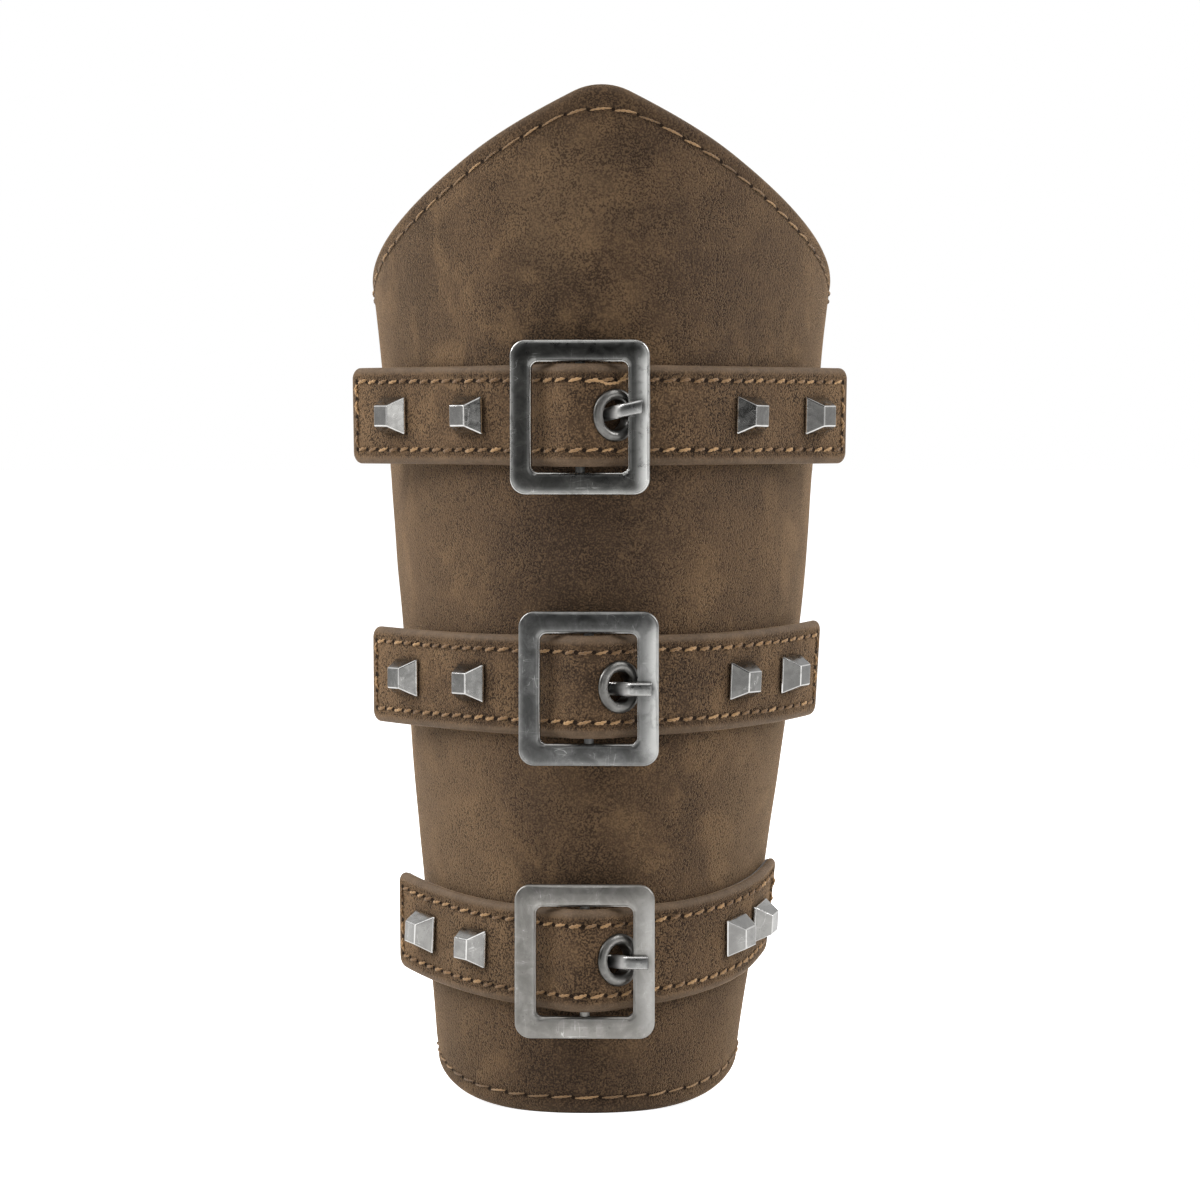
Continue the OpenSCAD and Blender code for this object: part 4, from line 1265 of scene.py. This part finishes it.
def make_strap_leather(strap, rows):
    k = strap.k
    where = WHERE[k]
    pulled = dimple_field(rows, *STRAP_DIMPLE)
    length = strap.total[-1] + strap.total[1]
    runs = [r - strap.total[-1] for r in dense_ends(length, STRAP_STEPS, STRAP_RUN)]
    levels = dense_ends(STRAP_W, STRAP_STEPS, STRAP_RISE)
    studs = [side * (strap.leave_l[side] + u[side][k]) for side in (-1, 1) for u in (STUDS_IN, STUDS_OUT)]
    low = BACKING_T - STRAP_T / 2

    def flat_place(i, j):
        s = runs[i]
        up = (levels[j] / STRAP_W * 2 - 1) * strap.half(s)
        return s, up, strap.gap(s, up)

    def face_top(i, j):
        s, up, d = flat_place(i, j)
        off = STRAP_T / 2 + rounding(d, 1.15) + folds(d, STRAP_FOLDS)
        p, _ = strap.point(s, up, STRAP_T / 2)
        waves = noise.noise(p / 15 + Vector((k * 7, 0, 0))) * 0.16 + noise.noise(p / 5) * 0.05
        dent = pulled(p)
        beside_stud = max(0, min(max(abs(s - at), abs(up)) - STUD_BASE / 2 for at in studs))
        off += waves * smooth_step(d, 1, 5) - 0.12 * bump(beside_stud, 0, 1.1)
        q, _ = strap.point(s, up, off - dent)
        rim = 0.85 * (1 - smooth_step(d, 1.0, STRAP_RIM))
        # Darker along the groove, in the needle-hole dimples and round each stud's base: painted shade and
        # painted shadow.
        crease_shade = bump(d, 2.45, 0.35) * 0.45 + dent * 1.3 + 0.55 * bump(beside_stud, 0, 0.8)
        left = strap.total[-1 if s < 0 else 1] - abs(s)
        # Lighter near each end of a strap: wear at both ends, and more at the left ends, which is painted
        # light.
        wear_and_painted_light = (0.9 if s < 0 else 0.6) * (1 - smooth_step(left, 2, 17))
        wear_and_painted_light += 0.5 * bump(d, 1.3, 0.9) * max(0, noise.noise(p / 9 + Vector((9, k, 0))))
        return q, rim, min(1, crease_shade), min(1, wear_and_painted_light)

    def hidden(share, off, drop, radius, pale, plain):
        """A face that drops by a share of the rounding at its edge, with a rim from pale to plain."""

        def place(i, j):
            s, up, d = flat_place(i, j)
            q, _ = strap.point(s, up * share, off + drop * rounding(d, radius))
            return q, 1 - smooth_step(d, pale, plain), 0.0, 0.0

        return place

    seat, _, _, way = eyelet_seat(strap)
    hole = [(seat, way, EYELET_BORE / 2 + BARREL_WALL + HOLE_PLAY, 16)]
    back_top = hidden(BACKING_SHARE, low - SEAM, 0.3, 0.3, 0.5, 1.2)
    back_low = hidden(BACKING_SHARE, -STRAP_T / 2, -1, 0.55, 0.5, 1.2)
    sheets = [
        ("strap", "face", face_top, hidden(1, low + SEAM, -0.3, 0.3, 1.5, STRAP_RIM)),
        ("backing", "backing", back_top, back_low),
    ]
    for kind, node, top, under in sheets:
        mesh = closed_sheet(f"{where}_{kind}_leather", range(len(levels)), range(len(runs)), top, under)
        drill(add_object(mesh, "cuff", M[kind], [f"{where}_strap_{node}"]), hole)


def make_strap(k):
    strap = Strap(k)
    where = WHERE[k]
    rows = [(path, path.holes(STRAP_PITCH)) for path in strap_stitch_paths(strap)]
    make_strap_leather(strap, rows)
    threads = Threads()
    add_stitches(threads, rows, STRAP_THREAD)
    if where == "elbow":
        loose_strand(threads, strap, SLACK, SLACK_R, SLACK_TONE)
        for frayed in FRAYED:
            loose_strand(threads, strap, SLACK[-1:] + frayed, FRAYED_R, random.random())
    add_object(threads.mesh(f"{where}_strap_stitching"), "cuff", M["thread"])
    add_object(hole_mesh(f"{where}_needle_holes", rows, STRAP_HOLE), "cuff", M["hole"])
    nodes = f"{where}_eyelet", f"{where}_eyelet_washer"
    make_eyelets(nodes, [eyelet_seat(strap)], EYELET_BORE, EYELET_FLANGE, STRAP_T, EYELET_DOME, 64)
    make_studs(strap)
    make_buckle(strap)
    make_prong(strap)


def eyelet_seat(strap):
    """Front of the strap's slope where its eyelet sits."""
    p = strap.placed(1, HUMP_END + EYELET_RUN[strap.k] * onward(HUMP_TURN))
    way = Vector((*outward(HUMP_TURN + strap.buckle), 0))
    return frame_at(Vector((p.x, p.y, strap.z)) + way * STRAP_T / 2, way)


# Studs
def stud_head(place, right, top, way):
    """A pyramid head with narrow bevels, marked bright as wear and painted highlight, as points, faces and
    edge marks.
    """
    b, t = STUD_BASE / 2, STUD_TOP / 2
    bm = bmesh.new()
    rings = []
    for half, height in ((b, 0), (b, STUD_SKIRT), (t, STUD_H)):
        corners = (-1, -1), (1, -1), (1, 1), (-1, 1)
        rings.append([bm.verts.new((x * half, y * half, height)) for x, y in corners])
    bm.faces.new(list(reversed(rings[0])))
    bm.faces.new(rings[2])
    for low, high in zip(rings, rings[1:]):
        for k in range(4):
            bm.faces.new((low[k], low[(k + 1) % 4], high[(k + 1) % 4], high[k]))
    edges = [e for e in bm.edges if max(v.co.z for v in e.verts) > STUD_SKIRT / 5]
    lines = [[v.co.copy() for v in e.verts] for e in edges]
    shape = {"offset": STUD_BEVEL, "segments": 3, "profile": 0.6}
    bmesh.ops.bevel(bm, geom=edges, affect="EDGES", clamp_overlap=True, **shape)
    points, marks = [], []
    bm.verts.index_update()
    for v in bm.verts:
        near = min(distance_to_line(v.co, a, c) for a, c in lines)
        marks.append(0.95 * bump(near, 0.04, 0.15))
        points.append(place + right * v.co.x + top * v.co.y + way * v.co.z)
    faces = [tuple(v.index for v in f.verts) for f in bm.faces]
    bm.free()
    return points, faces, marks


def distance_to_line(p, a, b):
    d = b - a
    f = min(1, max(0, (p - a).dot(d) / d.dot(d)))
    return (p - a - d * f).length


def post_points(place, right, top, way, low, high, radius, sides=20):
    """A plain round post along way, as points, faces and edge marks."""
    points = []
    for height in (low, high):
        for k in range(sides):
            a = 360 * k / sides
            points.append(place + (right * cos(a) + top * sin(a)) * radius + way * height)
    faces = bands(2, sides) + [tuple(reversed(range(sides))), tuple(range(sides, 2 * sides))]
    return points, faces, [0.0] * len(points)


def joined(name, parts, smooth=False):
    """One mesh from several lots of points, faces and edge marks, with its faces turned outward."""
    points, faces, edges = [], [], []
    for more_points, more_faces, more_edges in parts:
        first = len(points)
        points += more_points
        faces += [tuple(first + v for v in f) for f in more_faces]
        edges += more_edges
    mesh = new_mesh(name, points, faces, smooth=smooth, marks={"edge": edges})
    bm = bmesh.new()
    bm.from_mesh(mesh)
    bmesh.ops.recalc_face_normals(bm, faces=bm.faces)
    bm.to_mesh(mesh)
    bm.free()
    return mesh


def make_studs(strap):
    where = WHERE[strap.k]
    tail_post = STRAP_T + 2 * SEAT_GAP
    panel_post = STRAP_T / 2 + STRAP_MID + SHELL_T + 3 * SEAT_GAP
    heads, caps = [], []
    for side in (-1, 1):
        for u in (STUDS_IN[side][strap.k], STUDS_OUT[side][strap.k]):
            post = panel_post if u < 0 else tail_post
            place, right, top, way = strap.seat(side, u)
            seat = place + way * (STRAP_T / 2 + SEAT_GAP)
            tilt = random.uniform(-STUD_TILT, STUD_TILT)
            right, top = right * cos(tilt) + top * sin(tilt), top * cos(tilt) - right * sin(tilt)
            heads.append(stud_head(seat, right, top, way))
            heads.append(post_points(seat, right, top, way, -post, 0.2, POST_D / 2))
            caps.append(lathe(cap_profile(-post, -post - CAP_T, CAP_D / 2), [(seat, right, top, way)], 32))
    mesh = joined(f"{where}_stud_heads", heads)
    add_object(mesh, "cuff", M[f"{where}_stud"], [f"{where}_studs"])
    mesh = joined(f"{where}_post_caps", caps, smooth=True)
    add_object(mesh, "cuff", M["eyelet"], [f"{where}_stud_caps"])


# Buckles
def rounded_loop(width, height, radius, steps):
    """Points round a rectangle with round corners, with so many steps for each corner and side."""
    corners = (1, -1), (1, 1), (-1, 1), (-1, -1)
    middles = [(x * (width / 2 - radius), y * (height / 2 - radius)) for x, y in corners]
    loop = []
    for k, (x, y) in enumerate(middles):
        loop += [(x + radius * cos(a), y + radius * sin(a)) for a in spread(90 * k - 90, 90 * k, steps)]
        x0, y0 = loop[-1]
        x1, y1 = middles[(k + 1) % 4]
        x1, y1 = x1 + radius * cos(90 * k), y1 + radius * sin(90 * k)
        loop += [(x0 + (x1 - x0) * m / steps, y0 + (y1 - y0) * m / steps) for m in range(1, steps)]
    return loop


# The frame's softly domed face across a bar: shares of its width and of the dome, and the edge mark, which
# paints wear and a soft highlight band near the edges
FACE_DOME = [
    (0.92, 0.16, 0.4), (0.84, 0.38, 0.22), (0.76, 0.56, 0.06), (0.64, 0.80, 0),
    (0.5, 0.92, 0), (0.36, 0.98, 0), (0.22, 0.96, 0.04), (0.10, 0.80, 0.25),
]
DOME = 0.42
FRAME_BEVEL = 0.4

# How far the bar reaches into the frame, and the angles from which an edge of metal stays sharp
ROD_SEAT = 2.5
FRAME_SHARP = math.radians(50)
PRONG_SHARP = math.radians(60)

# From the wrist to the elbow: how bright a frame's inner and outer edges are marked, as wear and painted
# highlight, and how strong the painted reflection on its right bar is
FRAME_WEAR_AND_LIGHT = [(0.45, 0.12, 0.35), (0.7, 0.3, 0.75), (1.0, 0.85, 1.0)]
# Where the painted reflection on each right bar begins, from the window's edge.
REFLECTION_START = [-1, -0.6, 1.2]


def bar_section(bevel, steps):
    """Section of the frame, all the way round: share across, step, height and edge mark of each point."""
    t = FRAME_T / 2
    section = []
    for corner_x, corner_y, start in ((0, -1, 180), (1, -1, 270), (1, 1, 0), (0, 1, 90)):
        low = DOME if corner_y > 0 else 0
        for m in range(steps + 1):
            a = start + 90 * m / steps
            inset = bevel * (1 if corner_x == 0 else -1)
            edge = sin(180 * m / steps) if 0 < m < steps else 0.12
            height = corner_y * (t - bevel) + bevel * sin(a) - low
            section.append((corner_x, inset + bevel * cos(a), height, edge))
        if (corner_x, corner_y) == (1, 1):
            section += [(share, 0, t - DOME * (1 - dome), edge) for share, dome, edge in FACE_DOME]
    return section


def bar_seat(strap):
    """The middle of the buckle's bar, and the directions right, front and up."""
    p = strap.placed(1, (0, 0))
    right, front = Vector((*onward(strap.buckle), 0)), Vector((*outward(strap.buckle), 0))
    return Vector((p.x, p.y, strap.z - FRAME_DROP)), right, front, Vector((0, 0, 1))


def cast_wobble(x, z, k):
    """How far the cast metal of a frame is off at a place."""
    wide = noise.noise(Vector((x / 7, z / 7, k * 5.3))) * 0.06
    return wide + noise.noise(Vector((x / 1.7, z / 1.7, k * 3.1 + 40))) * 0.02


def painted_reflection_reach(x, z, k):
    """How far the painted reflection reaches over the right bar: not to its corners, and not beside the
    prong, which leaves a painted shadow round it.
    """
    past = smooth_step(x, WINDOW_W / 2 + REFLECTION_START[k], FRAME_W / 2 - 1.2)
    past *= 1 - smooth_step(abs(z + 1), FRAME_H / 2 - 6, FRAME_H / 2)
    shaded = max(abs(z - prong_rise(x, k)) - PRONG_W / 2, x - PRONG_TIP)
    return past * smooth_step(shaded, 0.1, 1.5)


def make_buckle(strap):
    k = strap.k
    where = WHERE[k]
    bar, right, front, top = bar_seat(strap)
    outer = rounded_loop(FRAME_W, FRAME_H, FRAME_ROUND, 10)
    inner = rounded_loop(WINDOW_W, WINDOW_H, WINDOW_ROUND, 10)
    section = bar_section(FRAME_BEVEL, 4)
    points, edges, painted_reflections = [], [], []
    inner_wear_and_highlight, outer_wear_and_highlight, painted_reflection = FRAME_WEAR_AND_LIGHT[k]
    middle = bar + front * BAR_BACK
    for (ox, oz), (ix, iz) in zip(outer, inner):
        across = Vector((ox - ix, oz - iz))
        width = across.length
        across.normalize()
        for share, step, height, edge in section:
            d = share * width + step
            x, z = ix + across.x * d, iz + across.y * d
            wobble = cast_wobble(x, z, k)
            lift = wobble if height > 0 else 0
            place = middle + right * (x + wobble * 0.6) + top * (z + wobble * 0.4)
            points.append(place + front * (height + lift))
            wear_and_painted_light = inner_wear_and_highlight if share < 0.5 else outer_wear_and_highlight
            edges.append(edge * wear_and_painted_light if height > 0 else edge * wear_and_painted_light * 0.5)
            painted_reflections.append(painted_reflection * painted_reflection_reach(x, z, k))
    faces = bands(len(outer), len(section), closed=True)
    half = WINDOW_H / 2 + ROD_SEAT
    rod = post_points(bar, right, front, top, -half, half, BAR_D / 2, 28)
    mesh = joined(f"{where}_buckle_cast", [(points, faces, edges), rod], smooth=True)
    add_mark(mesh, "painted_reflection", painted_reflections)
    mesh.set_sharp_from_angle(angle=FRAME_SHARP)
    add_object(mesh, "cuff", M[f"{where}_frame"], [f"{where}_buckle_frame"])


def prong_centre():
    """The prong's middle line as distance out, distance back and turn, and where it starts and ends."""
    rest = -(BAR_BACK + FRAME_T / 2 + PRONG_SEAT + PRONG_T / 2)
    low = EYE_R - PRONG_T / 2
    fall = 2 * PRONG_BEND * (1 - cos(PRONG_CLIMB))
    straight = (low - rest - fall) / sin(PRONG_CLIMB)
    run = 2 * PRONG_BEND * sin(PRONG_CLIMB) + straight * cos(PRONG_CLIMB)
    start = WINDOW_W / 2 - run
    tip = FRAME_W / 2 - TIP_INSET
    line = [(0.6, low, 0), (start / 2, low, 0)]
    for t in spread(0, PRONG_CLIMB, 8):
        line.append((start + PRONG_BEND * sin(t), low - PRONG_BEND * (1 - cos(t)), -t))
    for t in spread(PRONG_CLIMB, 0, 8):
        line.append((start + run - PRONG_BEND * sin(t), rest + PRONG_BEND * (1 - cos(t)), -t))
    for f in (0.3, 0.6, 0.85, 0.94, 0.98, 1.0):
        line.append((start + run + (tip - start - run) * f, rest, 0))
    return line, start, tip


PRONG_LINE, PRONG_START, PRONG_TIP = prong_centre()


def prong_rise(x, k):
    """How far a prong that lies askew has risen at a distance out."""
    return PRONG_RISE[k] * max(0, x - PRONG_START) / (PRONG_TIP - PRONG_START)


# The prong's last rings, from the tip back: share of its thickness, and painted shade
PRONG_END = [(0.80, 0.95), (0.93, 0.6), (0.985, 0.15)]


def squared(share):
    """A circle's sine or cosine, pushed outward for a softly squared section."""
    return math.copysign(abs(share) ** 0.8, share)


def prong_eye(inner, outer, half):
    """Section of the eye round the bar, with rounded corners: radius, height and edge mark."""
    side = [
        (inner, half - 0.2, 0), (inner + 0.2, half, 0.3), (outer - 0.35, half, 0.4),
        (outer - 0.1, half - 0.12, 0.6), (outer, half - 0.4, 0),
    ]
    other = [(radius, -height, edge) for radius, height, edge in side]
    return other[:1] + side + other[:0:-1]


def make_prong(strap):
    k = strap.k
    where = WHERE[k]
    bar, right, front, up = bar_seat(strap)
    low, high = PRONG_LINE[0][1], PRONG_LINE[-1][1]
    sides = 20
    points, edges, painted_tip_shades, dull_and_painted_lights = [], [], [], []
    for index, (x, y, t) in enumerate(PRONG_LINE):
        left = len(PRONG_LINE) - 1 - index
        size, painted_tip_shade = PRONG_END[left] if left < len(PRONG_END) else (1.0, 0)
        n = outward(t)
        z = prong_rise(x, k)
        # The climb inside the eyelet's shaded hole, which is painted lighter.
        risen = smooth_step(low - y, 1.0, 2.0) * smooth_step(y - high, 0.1, 0.9)
        for m in range(sides):
            a = 360 * m / sides
            wide = squared(sin(a)) * PRONG_W / 2 * size
            thick = squared(cos(a)) * PRONG_T / 2 * size
            place = bar + right * (x + n.x * thick) - front * (y + n.y * thick)
            points.append(place + Vector((0, 0, z + wide)))
            # Bright lines along the prong's front corners: a painted highlight; none on the last two rings.
            edges.append(0 if left < 2 else 0.75 * bump(a, 60, 16) + 0.35 * bump(a, 300, 20))
            dull_and_painted_lights.append(risen)
            painted_tip_shades.append(painted_tip_shade)
    last = len(points) - sides
    ends = [tuple(range(sides)), tuple(reversed(range(last, last + sides)))]
    faces = bands(len(PRONG_LINE), sides) + ends
    eye = lathe(prong_eye(BAR_D / 2 + EYE_PLAY, EYE_R, PRONG_W / 2), [(bar, right, -front, up)], 40)
    mesh = joined(f"{where}_prong_forged", [(points, faces, edges), eye], smooth=True)
    add_mark(mesh, "painted_tip_shade", painted_tip_shades)
    add_mark(mesh, "dull_and_painted_light", dull_and_painted_lights)
    mesh.set_sharp_from_angle(angle=PRONG_SHARP)
    add_object(mesh, f"{where}_tongue", M["prong"], [f"{where}_prong"])


# Studio, in metres. The floor glows for the camera and, less, in what mirrors it
LAMP_AIM = Vector((0, 0, 0.13))
FAR = 20
FLOOR_R = 30.0
FLOOR_GLOW = 0.82
FLOOR_MIRRORED = 0.2


def make_camera():
    data = bpy.data.cameras.new("camera")
    data.sensor_fit = "HORIZONTAL"
    data.sensor_width = 36
    data.lens = data.sensor_width * CAMERA_FOCAL / PICTURE
    data.clip_end = FAR
    camera = bpy.data.objects.new("camera", data)
    camera.location = scaled(CAMERA_AT, MM)
    camera.rotation_euler = ((90 - CAMERA_PITCH) / DEG, 0, 0)
    bpy.context.scene.collection.objects.link(camera)
    bpy.context.scene.camera = camera


def area_lamp(name, at, size, power):
    """A rectangular lamp that looks at the middle of the part."""
    data = bpy.data.lights.new(name, "AREA")
    data.shape = "RECTANGLE"
    data.size, data.size_y = size
    data.energy = power
    lamp = bpy.data.objects.new(name, data)
    lamp.location = at
    lamp.rotation_euler = (LAMP_AIM - Vector(at)).to_track_quat("-Z", "Y").to_euler()
    bpy.context.scene.collection.objects.link(lamp)


def new_nodes(tree, kinds):
    tree.nodes.clear()
    return [tree.nodes.new(f"ShaderNode{kind}") for kind in kinds.split()]


def make_world():
    """A white room that grows dark behind the camera. Seen directly, it is white."""
    world = bpy.data.worlds.new("studio")
    world.use_nodes = True
    bpy.context.scene.world = world
    tree = world.node_tree
    kinds = "OutputWorld MixShader Background Background LightPath TexCoord SeparateXYZ MapRange"
    out, mixer, soft, white, rays, coords, split, room = new_nodes(tree, kinds)
    soft.inputs["Color"].default_value = (1, 1, 1, 1)
    white.inputs["Color"].default_value = (1, 1, 1, 1)
    for end, number in (("From Min", -0.85), ("From Max", 0.6), ("To Min", 0.04), ("To Max", 1.0)):
        room.inputs[end].default_value = number
    links = [
        (coords.outputs["Generated"], split.inputs[0]),
        (split.outputs["Y"], room.inputs["Value"]),
        (room.outputs["Result"], soft.inputs["Strength"]),
        (rays.outputs["Is Camera Ray"], mixer.inputs[0]),
        (soft.outputs[0], mixer.inputs[1]),
        (white.outputs[0], mixer.inputs[2]),
        (mixer.outputs[0], out.inputs["Surface"]),
    ]
    for source, target in links:
        tree.links.new(source, target)


def make_floor():
    """A pale floor that shows white to the camera and keeps a soft shadow."""
    mesh = bpy.data.meshes.new("floor")
    corners = [(-FLOOR_R, -FLOOR_R, 0), (FLOOR_R, -FLOOR_R, 0), (FLOOR_R, FLOOR_R, 0), (-FLOOR_R, FLOOR_R, 0)]
    mesh.from_pydata(corners, [], [(0, 1, 2, 3)])
    floor = bpy.data.objects.new("floor", mesh)
    bpy.context.scene.collection.objects.link(floor)
    material = bpy.data.materials.new("floor")
    material.use_nodes = True
    tree = material.node_tree
    kinds = "OutputMaterial BsdfDiffuse Emission LightPath Math Math Math AddShader"
    out, diffuse, glow, rays, mirrored, part, amount, add = new_nodes(tree, kinds)
    diffuse.inputs["Color"].default_value = (0.8, 0.8, 0.8, 1)
    mirrored.operation = "MAXIMUM"
    part.operation = "MULTIPLY"
    part.inputs[1].default_value = FLOOR_MIRRORED
    amount.operation = "MULTIPLY_ADD"
    amount.inputs[1].default_value = FLOOR_GLOW
    links = [
        (rays.outputs["Is Glossy Ray"], mirrored.inputs[0]),
        (rays.outputs["Is Transmission Ray"], mirrored.inputs[1]),
        (mirrored.outputs[0], part.inputs[0]),
        (rays.outputs["Is Camera Ray"], amount.inputs[0]),
        (part.outputs[0], amount.inputs[2]),
        (amount.outputs[0], glow.inputs["Strength"]),
        (diffuse.outputs[0], add.inputs[0]),
        (glow.outputs[0], add.inputs[1]),
        (add.outputs[0], out.inputs["Surface"]),
    ]
    for source, target in links:
        tree.links.new(source, target)
    mesh.materials.append(material)


make_camera()
make_world()
make_floor()
area_lamp("left_softbox", (-1.2, -0.12, 1.1), (1.0, 1.0), 25)
area_lamp("right_softbox", (1.2, -0.12, 1.1), (1.0, 1.0), 19)
area_lamp("right_front_softbox", (0.35, -1.09, 0.20), (0.4, 0.9), 1.7)
area_lamp("top_softbox", (-0.25, -1.0, 1.5), (1.2, 0.8), 4.5)
bpy.context.scene.view_settings.view_transform = "Standard"

make_panel()
make_lacing()
for strap_number in range(len(WHERE)):
    make_strap(strap_number)
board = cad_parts["stiffener_board"]
board.data.materials.clear()
board.data.materials.append(M["board"])

bpy.context.view_layer.update()
